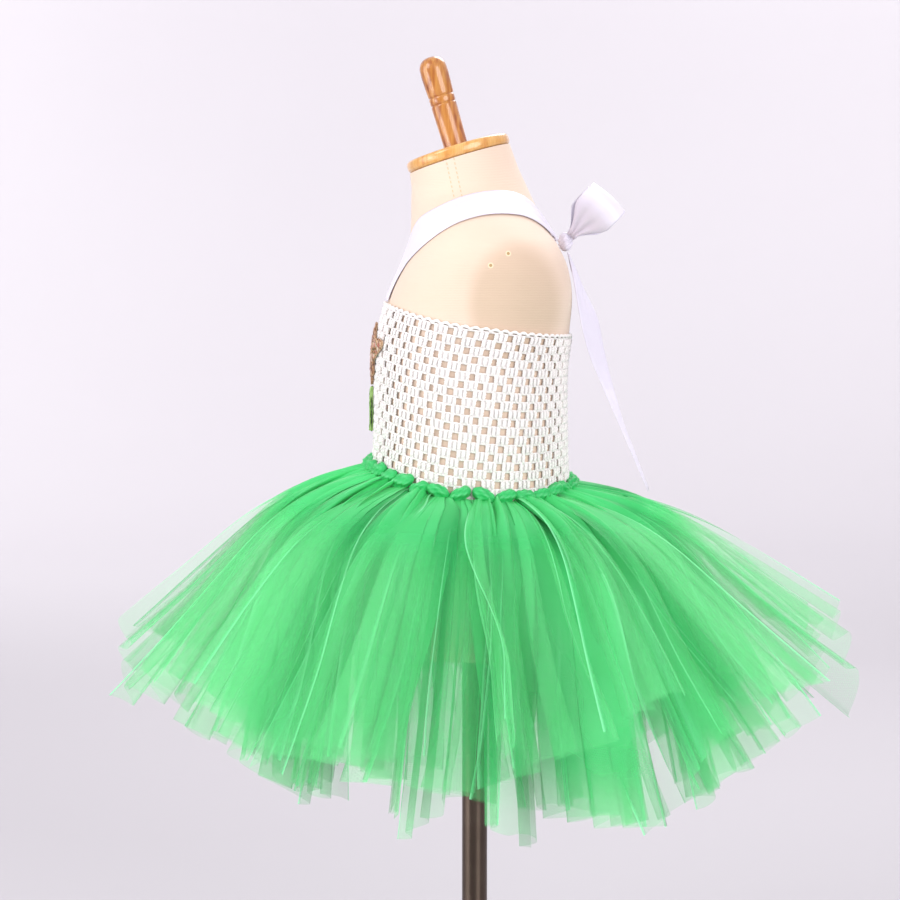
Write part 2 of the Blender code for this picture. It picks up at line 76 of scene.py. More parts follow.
# The form's level sections, as the solids have them.
FormRow = namedtuple("FormRow", "height front back half_width squareness lean")
FORM_ROWS = [FormRow(*row) for row in (
    (440, -84, 88, 92, 2.1, 0),
    (452, -88, 93, 98, 2.1, 0),
    (480, -91, 96, 101, 2.1, 0),
    (530, -92, 91, 97, 2.1, 0),
    (590, -90, 82, 89, 2.15, 0),
    (640, -88, 80, 91, 2.2, 0),
    (690, -87, 80, 96, 2.25, 0),
    (725, -84, 84, 101, 2.3, 0),
    (755, -76, 86, 107, 2.4, 0),
    (780, -66, 82, 111, 2.4, 0),
    (798, -60, 74, 109, 2.3, 0),
    (811, -57.5, 66, 99, 2.15, 0),
    (822, -57, 60, 84, 2.1, 0),
    (833, -57, 54.5, 67, 2.0, 0),
    (845, -57, 47.5, 53, 2.0, 4),
    (860, -57.5, 39, 47.5, 2.0, 10),
    (876, -60, 32.5, 45.5, 2.0, 16.6),
)]
FORM_SIDES, FORM_RINGS = 144, 146

CAP_RADIUS, CAP_THICKNESS = 47, 10
HANDLE_LENGTH = 83
# Share of the handle's length, and radius, from its foot to where the round top begins.
HANDLE_PROFILE = (
    (0.0, 11.0), (0.03, 10.8), (0.2, 11.0),
    (0.465, 11.4), (0.475, 11.2), (0.485, 10.7), (0.495, 11.2), (0.505, 11.4),
    (0.55, 11.5), (0.56, 11.3), (0.57, 10.8), (0.58, 11.4), (0.59, 11.6),
    (0.7, 12.1), (0.8, 12.4), (0.86, 12.2), (0.9, 11.9),
    (0.935, 10.8), (0.96, 9.4), (0.98, 7.4), (0.992, 5.0), (0.998, 2.4),
)

POLE_RADIUS = 11.5
SOCKET_RADIUS, SOCKET_THICKNESS = 27, 12
FOOT_RADIUS, FOOT_THICKNESS = 155, 12
FOOT_COLLAR_RADIUS, FOOT_HEIGHT = 19, 46
ROUND_STEPS = 96

# The bodice's two edges: the height at the sides' mean, how much higher the front is than that,
# and how far the sides sag.
BODICE_TOP = (731.5, 14, 6)
WAIST = (597.5, 9, 12)
BODICE_CLEAR = 0.8
BODICE_WALL = 2.0
BODICE_BELOW_WAIST = 19
# The tube's flat size as worn, and the area of its cloth in square metres.
BODICE_FLAT, BODICE_AREA = (590, 153), 0.065
# The crochet's clusters of three stitches: how many go round the body and down it, and the
# share of a cluster by which each row is set aside from the one above.
CLUSTERS, CLUSTER_ROWS, CLUSTER_SLANT = 35, 21, 0.05
# A net's cells in a cluster, across and down, and those across that are left open.
CELL_COLUMNS, CELL_ROWS, OPEN_CELLS = 6, 7, (2, 3)
# A stitch's distance from its cluster's middle as a share of the cluster, the turns of its two
# strands about each other, how far they wind, and how far it arches out.
STITCH_ASIDE, STITCH_TURNS, STITCH_WIND, STITCH_ARCH = 0.265, 1.4, 0.6, 0.5
# The yarn of a stitch, a chain and the picot edge, how far out their middles lie, how far the
# last two wind, and how high the picots stand.
STITCH_YARN, STITCH_OUT = 1.0, 1.55
CHAIN_YARN, CHAIN_OUT, CHAIN_WIND = 0.65, 1.55, 0.4
PICOT_YARN, PICOT_OUT, PICOT_WIND, PICOT_RISE = 1.05, 1.7, 0.6, 2.6
NET_OUT = BODICE_CLEAR + 0.4

TAILS = 32
TAIL_LENGTH = 290
COLLAR_CLEAR = BODICE_CLEAR + BODICE_WALL + SEAM_GAP
COLLAR_HEIGHT = 5
KNOT_BULGE = 2.6
# How far below the horizontal the tails reach, at the front, side and back. Neighbours take the
# two rows of their layer in turn, and start below the waist line by the drop.
LayerRow = namedtuple("LayerRow", "layer drop front side back")
LAYER_ROWS = [LayerRow(*row) for row in (
    ("upper", 0, 37, 37, 27),
    ("upper", 0, 46, 47, 38),
    ("lower", 8.5, 57, 58, 51),
    ("lower", 8.5, 68, 69, 63),
)]
# Folds of a tail of the solids, which draw one number for each.
SOLID_FOLDS = 6
# A tail's slope at its start and end as shares of its mean slope, and where it has turned.
TAIL_FIRST, TAIL_LAST, TAIL_BENT_BY = 0.3, 1.16, 0.55
# A tail's width as a share of its room round the body, and its width where it leaves its knot.
TAIL_WIDTH = 1.6
NECK_WIDTH = 27
TAIL_COLUMNS, TAIL_ROWS = 80, 30
STRIP_WIDTH, STRIP_IN_KNOT = 152, 30
# The tails differ: a share of them is shorter, wider or turned right over, by these ranges.
SHORT_TAILS, SHORT_BY = 0.2, (0.84, 0.95)
WIDE_TAILS, WIDE_BY, USUAL_WIDTH = 0.25, (1.15, 1.4), (0.88, 1.12)
OVER_TAILS, OVER_BY = 0.12, (50, 95)
# How far they hang turned at the front and back, and how far each is turned or swayed besides.
HANGING_TURN, UNEVEN_TURN, SWAY = (25, 50), (-14, 20), (-22, 22)
# Folds across a tail, the share of its width that is doubled, the folds' depth and their tilt.
FOLDS, DOUBLED, FOLD_DEPTH, FOLD_TILT = (2.4, 4.4), (0.15, 0.4), (3.5, 7.5), (3, 9)
# The least and the most cloth in a tail, as shares of the flat strip.
LEAST_CLOTH, MOST_CLOTH = 0.74, 1.15
# A knot's half sizes, how far it lies below the waist line and out from the form, and the
# ranges of its height, its lean and its sizes.
HITCH_SIZE = (11, 5.6, 7.2)
HITCH_DROP, HITCH_OUT = 1.5, COLLAR_CLEAR + 1.6
HITCH_RISE, HITCH_LEAN, HITCH_LONG, HITCH_HIGH = (-1.5, 1.5), (-32, 32), (0.85, 1.1), (0.8, 1.2)
SECTORS = ("front_left", "back_left", "back_right", "front_right")

RIBBON_WIDTH, RIBBON_WALL, RIBBON_CLEAR = 38, 0.35, 0.9
# The left half of the halter, along the form from the bodice's front edge to the knot.
HalterRow = namedtuple("HalterRow", "angle height width")
HALTER_ROWS = [HalterRow(*row) for row in (
    (9, 751, 17),
    (10, 768, 23),
    (14.5, 786, 31),
    (26, 802, 37),
    (57, 820, 38),
    (90, 831, 36),
    (124, 833, 34),
    (150, 827, 32),
    (168, 815, 24),
    (174, 806, 15),
)]
# For the halter, a loop and a tail: how many pleats lie across the ribbon where it is gathered,
# how deep they are, and how deep it drapes elsewhere.
HALTER_PLEATS, HALTER_PLEAT_DEPTH, HALTER_DRAPE = 2.5, 4.2, 0.7
LOOP_PLEATS, LOOP_PLEAT_DEPTH, LOOP_DRAPE = 3, 1.5, 1.6
BOW_TAIL_PLEATS, BOW_TAIL_PLEAT_DEPTH, BOW_TAIL_DRAPE = 2.5, 2.6, 2.2
KNOT_CENTRE = Vector((0, 80.5, 803))
KNOT_RADII = Vector((7.5, 7.5, 9.5))
KNOT_PLEAT, KNOT_PLEATS = 0.06, 5
# A loop's length and depth, the share of its width at the knot, and its gaps there.
LOOP_LENGTH, LOOP_DEPTH, LOOP_PINCH = 55, 12, 0.22
LOOP_ENDS_APART, LOOP_CLEAR = 1.2, 0.6
LOOP_AXIS = Vector((0.60, 0.56, 0.58))
LOOP_ACROSS = Vector((0, 0.72, -0.69))
# A bow tail's middle line and its width and twist from level, for the left tail.
BowTailRow = namedtuple("BowTailRow", "x y z width twist")
BOW_TAIL_ROWS = [BowTailRow(*row) for row in (
    (6, 82.5, 793.4, 11, -8),
    (13, 91, 765, 26, -18),
    (18, 100, 737, 36, -29),
    (23, 107, 706, 38, -26),
    (27, 117, 675, 38, -18),
    (30, 126, 650, 38, -12),
    (34, 135, 626, 38, -8),
    (41, 152, 585, 38, -6),
)]
# The right tail is turned less, the other way, and its end hangs further back.
RIGHT_TAIL_TURN, RIGHT_TAIL_BACK = -0.45, 5

FLOWER_HEIGHT, FLOWER_RADIUS, FLOWER_RISE = 703, 24.5, 1.8
FLOWER_PETALS, PETAL_DEPTH = 9, 0.12
# The field of the flower's sequins, and how far out they and its beads lie as shares of its
# reach.
FLOWER_FIELD, FLOWER_FILLED, FLOWER_EDGE = (-54, 54, -28, 30), 0.93, 0.985
LEAF_TURN, LEAF_REACH, LEAF_WIDTH = 0.22, 28, 0.2
APPLIQUE_WALL = 1.2
FELT_CLEAR = COLLAR_CLEAR + 0.5
STEM_RISE = 1.8
# A motif's slot, the radii of its sequins and beads, how far a sequin tilts, and the flat size
# and area of its felt in metres.
Motif = namedtuple("Motif", "name slot sequin bead tilt flat area")
FLOWER = Motif("flower", "sequin_gold", 2.1, 1.0, 20, (0.103, 0.055), 0.0027)
STEM = Motif("stem", "sequin_green", 1.3, 0.8, 10, (0.024, 0.0395), 0.00034)
# How far apart their sequins are sewn, and how many beads an edge has.
FLOWER_SPACING, FLOWER_BEADS = 3.5, 150
STEM_SPACING, STEM_BEADS = 2.3, 34
StemRow = namedtuple("StemRow", "height middle right left")
STEM_ROWS = [StemRow(*row) for row in (
    (673.5, 0.0, 1.8, 1.8),
    (668, 0.5, 1.8, 3.0),
    (663, 0.9, 1.8, 9.0),
    (657, 1.0, 2.5, 11.0),
    (651, 0.8, 8.0, 5.0),
    (645, 0.4, 10.5, 1.8),
    (639, 0.0, 5.0, 1.8),
    (634, -0.5, 1.6, 1.6),
)]

# The soft lights, in metres and watts.
Light = namedtuple("Light", "name place target size power")
LIGHTS = [Light(*row) for row in (
    ("key", (1.9, -2.3, 2.3), (0, 0, 0.6), 1.8, 36),
    ("front", (0.6, -2.8, 0.9), (0, 0, 0.6), 2.0, 26),
    ("low_front", (1.5, -2.4, 0.2), (0, 0, 0.4), 1.2, 16),
    ("fill", (2.6, 1.6, 1.3), (0, 0, 0.6), 2.2, 56),
    ("back_light", (-1.8, 0.8, 2.8), (0, 0, 0.6), 1.8, 44),
    ("wall_left", (-3.2, -2.2, 3.0), (-6, -2.0, 1.0), 1.6, 80),
    ("wall_right", (-3.2, 1.6, 3.0), (-6, 1.4, 2.2), 1.6, 70),
)]


def smooth_row(table, at, keys=None):
    """The table's row at a value of its first column or keys, on a curve through its rows."""
    keys = keys or [row[0] for row in table]
    at = min(max(at, keys[0]), keys[-1])
    index = max(i for i, key in enumerate(keys[:-1]) if key <= at)
    span = keys[index + 1] - keys[index]
    t = (at - keys[index]) / span

    def slope(i, column):
        low, high = max(i - 1, 0), min(i + 1, len(keys) - 1)
        return (table[high][column] - table[low][column]) / (keys[high] - keys[low]) * span

    values = []
    for column in range(len(table[0])):
        values.append(
            (2 * t**3 - 3 * t**2 + 1) * table[index][column]
            + (t**3 - 2 * t**2 + t) * slope(index, column)
            + (3 * t**2 - 2 * t**3) * table[index + 1][column]
            + (t**3 - t**2) * slope(index + 1, column)
        )
    return type(table[0])(*values)


def along_rows(table, share):
    """The table's row at a share of the way from its first row to its last."""
    return smooth_row(table, (len(table) - 1) * share, keys=list(range(len(table))))


def powered(value, power):
    return math.copysign(abs(value) ** power, value)


def eased(low, high, values):
    """The share of the way from low to high, leaving and arriving softly."""
    t = np.clip((values - low) / (high - low), 0, 1)
    return t * t * (3 - 2 * t)


def form_point(angle, height):
    """A point of the form's skin, at an angle from the front towards the wearer's left."""
    row = smooth_row(FORM_ROWS, height)
    turn, power = math.radians(angle), 2 / row.squareness
    x = row.half_width * powered(math.sin(turn), power)
    along = -(row.back - row.front) / 2 * powered(math.cos(turn), power)
    tip = math.radians(row.lean)
    y = (row.front + row.back) / 2 + along * math.cos(tip)
    return Vector((x, y, height + along * math.sin(tip))) * MM


def form_normal(angle, height):
    step = 0.5
    around = form_point(angle + step, height) - form_point(angle - step, height)
    down = form_point(angle, height - step) - form_point(angle, height + step)
    return down.cross(around).normalized()


def over_form(angle, height, distance):
    """A point at a distance in millimetres outside the form's skin."""
    return form_point(angle, height) + form_normal(angle, height) * distance * MM


def edge_height(edge, angle):
    """The height of one of the bodice's edges at an angle from the front."""
    level, rise, sag = edge
    turn = math.radians(angle)
    return level + rise * math.cos(turn) - sag * math.sin(turn) ** 2


def angle_of_x(x, height):
    """The angle at which the front of the form lies x millimetres to the wearer's left."""
    row = smooth_row(FORM_ROWS, height)
    return math.degrees(math.asin(powered(x / row.half_width, row.squareness / 2)))


# Mesh making


def select_only(*pieces):
    bpy.ops.object.select_all(action="DESELECT")
    for piece in pieces:
        piece.select_set(True)
    bpy.context.view_layer.objects.active = pieces[0]


def primitive(name, add, **settings):
    """A primitive that an operator adds, smooth and with its name, and selected alone."""
    bpy.ops.object.select_all(action="DESELECT")
    add(**settings)
    piece = bpy.context.object
    piece.name = piece.data.name = name
    piece.data.shade_smooth()
    return piece


def flat_grid(name, columns, rows):
    add = bpy.ops.mesh.primitive_grid_add
    return primitive(name, add, x_subdivisions=columns, y_subdivisions=rows, size=1)


def mark_points(piece, mark, values):
    """Gives the points of a piece the values of a mark that its material reads."""
    marks = piece.data.attributes.new(mark, "FLOAT", "POINT")
    marks.data.foreach_set("value", np.array(values, np.float32))


def linked(name, data):
    """An object in the scene for a mesh, a light or a camera."""
    made = bpy.data.objects.new(name, data)
    bpy.context.scene.collection.objects.link(made)
    return made


def grid_piece(name, columns, rows, place):
    """A grid whose points are moved to place(u, v). u runs to the left and v down."""
    piece = flat_grid(name, columns, rows)
    for vertex in piece.data.vertices:
        vertex.co = place(vertex.co.x + 0.5, 0.5 - vertex.co.y)
    return piece


def laid_grid(name, points, size, marks=None):
    """A grid laid on rows of points, with its marks and a UV map of its cloth's real size."""
    rows, columns = points.shape[0] - 1, points.shape[1] - 1
    piece = flat_grid(name, columns, rows)
    mesh = piece.data
    flat = np.zeros(len(mesh.vertices) * 3)
    mesh.vertices.foreach_get("co", flat)
    flat = flat.reshape(-1, 3)
    across = np.rint((flat[:, 0] + 0.5) * columns).astype(int)
    down = np.rint((0.5 - flat[:, 1]) * rows).astype(int)
    mesh.vertices.foreach_set("co", points[down, across].ravel())
    mesh.update()
    for mark, values in (marks or {}).items():
        mark_points(piece, mark, values[down, across])
    spread = np.zeros(len(mesh.loops) * 2, np.float32)
    mesh.uv_layers.active.data.foreach_get("uv", spread)
    spread = spread.reshape(-1, 2) * (size[0] * MM, size[1] * MM)
    mesh.uv_layers.active.data.foreach_set("uv", spread.astype(np.float32).ravel())
    return piece


def merged(piece, fill_ends=False):
    """Merges a rolled grid's seam, and closes its two ends if asked."""
    select_only(piece)
    bpy.ops.object.mode_set(mode="EDIT")
    bpy.ops.mesh.select_all(action="SELECT")
    bpy.ops.mesh.remove_doubles(threshold=WELD)
    if fill_ends:
        bpy.ops.mesh.select_all(action="SELECT")
        bpy.ops.mesh.fill_holes(sides=0)
        bpy.ops.mesh.select_all(action="SELECT")
        bpy.ops.mesh.normals_make_consistent(inside=False)
    bpy.ops.object.mode_set(mode="OBJECT")
    return piece


def joined(name, pieces):
    select_only(*pieces)
    bpy.ops.object.join()
    piece = bpy.context.object
    piece.name = piece.data.name = name
    return piece


def thickened(piece, wall=APPLIQUE_WALL):
    """Gives a sheet its wall, outwards."""
    select_only(piece)
    modifier = piece.modifiers.new("wall", "SOLIDIFY")
    modifier.thickness = wall * MM
    modifier.offset = 1
    modifier.use_even_offset = True
    bpy.ops.object.modifier_apply(modifier="wall")
    return piece


def turned(name, profile, place=None, steps=ROUND_STEPS):
    """A solid spun about its own Z from (radius, height) pairs, from the top down."""
    mesh = bpy.data.meshes.new(name)
    points = [(radius * MM, 0, height * MM) for radius, height in profile]
    mesh.from_pydata(points, [(i, i + 1) for i in range(len(points) - 1)], [])
    piece = linked(name, mesh)
    select_only(piece)
    bpy.ops.object.mode_set(mode="EDIT")
    bpy.ops.mesh.select_all(action="SELECT")
    bpy.ops.mesh.spin(steps=steps, angle=math.tau, center=(0, 0, 0), axis=(0, 0, 1))
    bpy.ops.mesh.select_all(action="SELECT")
    bpy.ops.mesh.remove_doubles(threshold=WELD)
    bpy.ops.mesh.normals_make_consistent(inside=False)
    bpy.ops.object.mode_set(mode="OBJECT")
    mesh.shade_smooth()
    mesh.set_sharp_from_angle(angle=math.radians(35))
    if place:
        mesh.transform(place)
    return piece


def mesh_piece(name, points, faces):
    mesh = bpy.data.meshes.new(name)
    mesh.from_pydata(points, [], faces)
    mesh.shade_smooth()
    return linked(name, mesh)


def keep(piece, slot, material, *nodes):
    """Finishes a piece: its material, its place on the body, and the solids it stands for."""
    if not piece.data.materials:
        piece.data.materials.append(material)
    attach(piece, "root")
    if nodes:
        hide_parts(*nodes)


# Materials


def linear(hex_colour):
    """The hex colour's three channels as linear values, and an alpha of 1."""
    shares = [int(hex_colour[i : i + 2], 16) / 255 for i in (1, 3, 5)]
    return [s / 12.92 if s <= 0.04045 else ((s + 0.055) / 1.055) ** 2.4 for s in shares] + [1]


def add_node(tree, kind, inputs=None, output=0, **settings):
    """Adds a node with its settings, and returns one of its outputs.

    Each input gets a value or another node's output."""
    node = tree.nodes.new("ShaderNode" + kind)
    for key, value in settings.items():
        setattr(node, key, value)
    for key, value in (inputs or {}).items():
        if isinstance(value, bpy.types.NodeSocket):
            tree.links.new(value, node.inputs[key])
        else:
            node.inputs[key].default_value = value
    return node.outputs[output]


def finish(name, coordinates="Object", **sockets):
    """A new material, its tree, its Principled shader with the given sockets, and the
    coordinates that its patterns are laid out in."""
    made = bpy.data.materials.new(name)
    made.use_nodes = True
    tree = made.node_tree
    shader = tree.nodes["Principled BSDF"]
    for key, value in sockets.items():
        shader.inputs[key.replace("_", " ").title().replace("Ior", "IOR")].default_value = value
    return made, tree, shader, add_node(tree, "TexCoord", output=coordinates)


def connect(tree, shader, **outputs):
    """Links nodes' outputs to the shader's sockets of those names."""
    for key, output in outputs.items():
        tree.links.new(output, shader.inputs[key.replace("_", " ").title()])


def set_surface(tree, shader, colour, grain, depth, strength, worn=None):
    """Gives a finish its colour, and its grain in relief so many millimetres deep.

    Worn is the least and the most roughness that the grain gives."""
    bump = {"Height": grain, "Distance": depth * MM, "Strength": strength}
    connect(tree, shader, base_color=colour, normal=add_node(tree, "Bump", bump))
    if worn:
        rough = {"Value": grain, "To Min": worn[0], "To Max": worn[1]}
        connect(tree, shader, roughness=add_node(tree, "MapRange", rough))


def mottled(tree, coordinates, scale, low, high, detail=3):
    """The colour between two hex colours that a noise of so many bumps a metre picks."""
    noise = add_node(tree, "TexNoise", {"Vector": coordinates, "Scale": scale, "Detail": detail})
    return add_node(tree, "Mix", {0: noise, MIX_A: linear(low), MIX_B: linear(high)}, **COLOURS)


def set_tones(ramp, tones, places=None):
    """Gives a colour ramp its hex colours, at even places if none are given."""
    places = places or [i / (len(tones) - 1) for i in range(len(tones))]
    while len(ramp.elements) < len(tones):
        ramp.elements.new(0.5)
    for element, place, tone in zip(ramp.elements, places, tones):
        element.position = place
        element.color = linear(tone)


def plate_painted_shade(tree, place):
    """How much of the arm plate shows: a disc under the jersey with a soft edge, painted darker as
    shade on the form's side.
    """
    across, up = PLATE_RADII
    middle = (0, -PLATE_CENTRE[0] / across, -PLATE_CENTRE[1] / up)
    size = (0, 1 / (across * MM), 1 / (up * MM))
    offset = add_node(tree, "Mapping", {"Vector": place, "Location": middle, "Scale": size})
    reach = add_node(tree, "VectorMath", {0: offset}, output="Value", operation="LENGTH")
    edge = {"Value": reach, "From Min": 1.22, "From Max": 0.8}
    return add_node(tree, "MapRange", edge, interpolation_type="SMOOTHSTEP")


def seam_stitches(tree, place):
    """Where the neck's side seam is stitched: two rows, one each side of the join."""
    lean = (0, math.cos(NECK_SEAM_LEAN), math.sin(NECK_SEAM_LEAN))
    across = {0: place, 1: lean}
    across = add_node(tree, "VectorMath", across, output="Value", operation="DOT_PRODUCT")
    off_seam = add_node(tree, "Math", {0: across, 1: NECK_SEAM_AT * MM}, operation="SUBTRACT")
    either_side = add_node(tree, "Math", {0: off_seam}, operation="ABSOLUTE")
    row = {0: either_side, 1: NECK_SEAM_HALF * MM, 2: SEAM_THREAD * MM}
    rows = add_node(tree, "Math", row, operation="COMPARE")
    height = add_node(tree, "SeparateXYZ", {0: place}, output="Z")
    turns = math.tau / (SEAM_STITCH * MM)
    along = add_node(tree, "Math", {0: height, 1: turns}, operation="MULTIPLY")
    wave = add_node(tree, "Math", {0: along}, operation="SINE")
    dashes = add_node(tree, "Math", {0: wave, 1: -0.2}, operation="GREATER_THAN")
    end = {0: height, 1: SHOULDER_SEAM_END * MM}
    above = add_node(tree, "Math", end, operation="GREATER_THAN")
    dashed = add_node(tree, "Math", {0: rows, 1: dashes}, operation="MULTIPLY")
    return add_node(tree, "Math", {0: dashed, 1: above}, operation="MULTIPLY")


def form_cloth():
    """Cotton jersey stretched over the form: cream and matt, ribbed, with seams and pin marks."""
    sheen = {"sheen_weight": 0.25, "sheen_roughness": 0.5}
    made, tree, shader, place = finish("cotton_jersey", roughness=0.82, **sheen)
    seam = seam_stitches(tree, place)
    # The arm plate's disc is painted darker, as shade on the form's side.
    marks = [(plate_painted_shade(tree, place), "#D5BCA4"), (seam, "#D6B892")]
    for angle, height in PIN_MARKS:
        pin = {0: place, 1: form_point(angle, height)}
        apart = add_node(tree, "VectorMath", pin, output="Value", operation="DISTANCE")
        for radius, tone in ((2.8, "#EEDABC"), (1.6, "#B89868")):
            rim = {"Value": apart, "From Min": radius * MM, "From Max": 0.7 * radius * MM}
            spot = add_node(tree, "MapRange", rim, interpolation_type="SMOOTHSTEP")
            marks.append((spot, tone))
    colour = mottled(tree, place, 14, "#E2C8B2", "#EAD3C0")
    for share, tone in marks:
        colour = add_node(tree, "Mix", {0: share, MIX_A: colour, MIX_B: linear(tone)}, **COLOURS)
    # The jersey's ribs are 0.7 mm apart, drawn at 1.4 mm so that they show.
    rib = {"Vector": place, "Scale": WAVE_PERIOD / (1.4 * MM), "Distortion": 2.0, "Detail": 2}
    ribs = add_node(tree, "TexWave", rib, output="Fac", bands_direction="Z")
    grain = add_node(tree, "TexNoise", {"Vector": place, "Scale": 900, "Detail": 2})
    knit = add_node(tree, "Math", {0: ribs, 1: grain}, operation="ADD")
    sunk = add_node(tree, "Math", {0: seam, 1: -4.0, 2: knit}, operation="MULTIPLY_ADD")
    set_surface(tree, shader, colour, sunk, 0.12, 0.6)
    return made


def lacquered_pine(name, tones):
    """Turned pine under clear lacquer: honey with orange-brown growth rings along the turning."""
    coat = {"coat_weight": 0.8, "coat_roughness": 0.1}
    made, tree, shader, place = finish(name, roughness=0.32, ior=1.5, **coat)
    lean = (-math.radians(FORM_ROWS[-1].lean), 0, 0)
    turning = {"Vector": place, "Rotation": lean, "Scale": (1, 1, 0.06)}
    along = add_node(tree, "Mapping", turning)
    ring = {"Vector": along, "Scale": 230, "Detail": 5, "Roughness": 0.55, "Distortion": 0.35}
    rings = add_node(tree, "TexNoise", ring)
    rings = add_node(tree, "ValToRGB", {"Fac": rings})
    set_tones(rings.node.color_ramp, tones, (0.3, 0.42, 0.55, 0.75))
    fibres = add_node(tree, "TexNoise", {"Vector": along, "Scale": 900, "Detail": 2})
    shade = {0: fibres, MIX_A: linear("#FFFFFF"), MIX_B: linear("#D9C7B4")}
    shaded = {0: 1.0, MIX_A: rings, MIX_B: add_node(tree, "Mix", shade, **COLOURS)}
    wood = add_node(tree, "Mix", shaded, blend_type="MULTIPLY", **COLOURS)
    set_surface(tree, shader, wood, fibres, 0.05, 0.5)
    return made


def chrome_plate():
    """Bright plated steel tube, tinted dark brown as a painted reflection of a dark room, with
    lines drawn round it that stretch its gloss upright.
    """
    drawn = {"anisotropic": 0.9, "anisotropic_rotation": 0.25}
    made, tree, shader, place = finish("chrome_plate", metallic=1.0, **drawn)
    around = add_node(tree, "Mapping", {"Vector": place, "Scale": (20, 20, 900)})
    lines = add_node(tree, "TexNoise", {"Vector": around, "Scale": 1, "Detail": 2})
    # Painted reflection: the dark brown tint stands in for a dark room reflected in the chrome.
    tint = mottled(tree, place, 30, "#544840", "#6A5D53")
    set_surface(tree, shader, tint, lines, 0.01, 0.3, worn=(0.32, 0.4))
    return made


def acrylic_yarn():
    """Glossy acrylic yarn: white and plump, with fine fibres that catch the light."""
    sheen = {"sheen_weight": 0.5, "sheen_roughness": 0.35}
    made, tree, shader, place = finish("acrylic_yarn", roughness=0.42, **sheen)
    fibres = add_node(tree, "TexNoise", {"Vector": place, "Scale": 2600, "Detail": 2})
    tint = mottled(tree, place, 160, "#F3EDEB", "#FBF7F5", detail=1)
    set_surface(tree, shader, tint, fibres, 0.25, 0.7)
    return made


def satin_weave():
    """Polyester satin: white and smooth, with a soft highlight that runs across its folds."""
    gloss = {"roughness": 0.36, "anisotropic": 0.5, "specular_ior_level": 0.5}
    made, tree, shader, cloth = finish("polyester_satin", "UV", sheen_weight=0.15, **gloss)
    # Satin's floats are 0.2 mm apart, drawn at 0.6 mm.
    threads = add_node(tree, "Mapping", {"Vector": cloth, "Scale": (1700, 130, 1)})
    floats = add_node(tree, "TexNoise", {"Vector": threads, "Scale": 1, "Detail": 2})
    set_surface(tree, shader, mottled(tree, cloth, 40, "#DCD6E6", "#E8E3F0"), floats, 0.04, 0.5)
    return made


def nylon_tulle(name, thread_cover, hole_cover, painted_glow, low, high):
    """Green nylon tulle: a fine net that light and the layers behind show through.

    It is painted paler, by a given share, where it lies sparse, standing in for light that shines
    through it; painted darker in its valleys, as shade; and painted lighter along its creases
    and edges, as a highlight."""
    sheen = {"sheen_weight": 0.35, "sheen_roughness": 0.4}
    made, tree, shader, cloth = finish(name, "UV", roughness=0.55, **sheen)
    shader.inputs["Sheen Tint"].default_value = linear("#C9FFC4")
    crease, ridge, gathered = [
        add_node(tree, "Attribute", output="Fac", attribute_name=mark)
        for mark in ("crease", "ridge", "cover")
    ]
    # Painted light: paler where the tulle lies least dense, as light shining through it.
    thin_glow = {"Value": gathered, "From Min": 0.35, "From Max": 0, "To Max": painted_glow}
    # Painted shade: darker in the folds' valleys.
    valley_shade = {"Value": ridge, "From Min": 0.1, "From Max": -0.8}
    colour = mottled(tree, cloth, 22, low, high, detail=1)
    for share, tone in (
        (add_node(tree, "MapRange", thin_glow), "#A4F4B0"),
        (add_node(tree, "MapRange", valley_shade), "#14AE56"),
        # Painted highlight: lighter along the creases and edges.
        (crease, "#90F2B4"),
    ):
        colour = add_node(tree, "Mix", {0: share, MIX_A: colour, MIX_B: linear(tone)}, **COLOURS)
    # The net's threads are 1.2 mm apart.
    mesh = {"Vector": cloth, "Scale": 1 / MM, "Brick Width": 1.2, "Row Height": 1.2}
    mesh |= {"Mortar Size": 0.12, "Mortar Smooth": 0.3}
    net = add_node(tree, "TexBrick", mesh, output="Fac")
    flat = {"Value": net, "To Min": hole_cover, "To Max": thread_cover}
    dense = {"Value": gathered, "To Min": add_node(tree, "MapRange", flat), "To Max": 0.95}
    connect(tree, shader, alpha=add_node(tree, "MapRange", dense))
    set_surface(tree, shader, colour, net, 0.05, 0.3)
    return made


def felt_cloth(name, low, high):
    """Craft felt: matt, with short matted fibres."""
    made, tree, shader, place = finish(name, roughness=0.95, sheen_weight=0.3, sheen_roughness=0.6)
    fibres = add_node(tree, "TexNoise", {"Vector": place, "Scale": 3000, "Detail": 3})
    set_surface(tree, shader, mottled(tree, place, 500, low, high), fibres, 0.2, 0.8)
    return made


def sequin_film(name, tones):
    """Metallised film: each sequin or bead has its own tone, and fine scuffs on its gloss."""
    made, tree, shader, place = finish(name, metallic=0.55, coat_weight=0.5, coat_roughness=0.1)
    tone = add_node(tree, "Attribute", output="Fac", attribute_name="tone")
    colour = add_node(tree, "ValToRGB", {"Fac": tone})
    set_tones(colour.node.color_ramp, tones)
    scuffs = add_node(tree, "TexNoise", {"Vector": place, "Scale": 1500, "Detail": 3})
    set_surface(tree, shader, colour, scuffs, 0.03, 0.4, worn=(0.15, 0.4))
    return made


# The stage and the light


def build_stage():
    """A plain pale studio: a floor that curves up into a wall all round."""
    profile = [(STAGE_RADIUS, STAGE_HEIGHT)]
    middle = STAGE_RADIUS - STAGE_CURVE
    for step in range(13):
        turn = math.radians(90 * step / 12)
        profile.append((middle + STAGE_CURVE * math.cos(turn), STAGE_CURVE * (1 - math.sin(turn))))
    profile.append((0, 0))
    floor = turned("studio_floor", profile, steps=128)
    floor.data.flip_normals()
    made, tree, shader, place = finish("matt_paper", roughness=0.9)
    connect(tree, shader, base_color=mottled(tree, place, 0.7, "#BEBABF", "#C2BEC3"))
    floor.data.materials.append(made)


def aimed(made, place, target):
    """Sets a light or a camera at its place, so that it looks at the target."""
    made.location = place
    made.rotation_euler = (target - place).to_track_quat("-Z", "Y").to_euler()
    return made


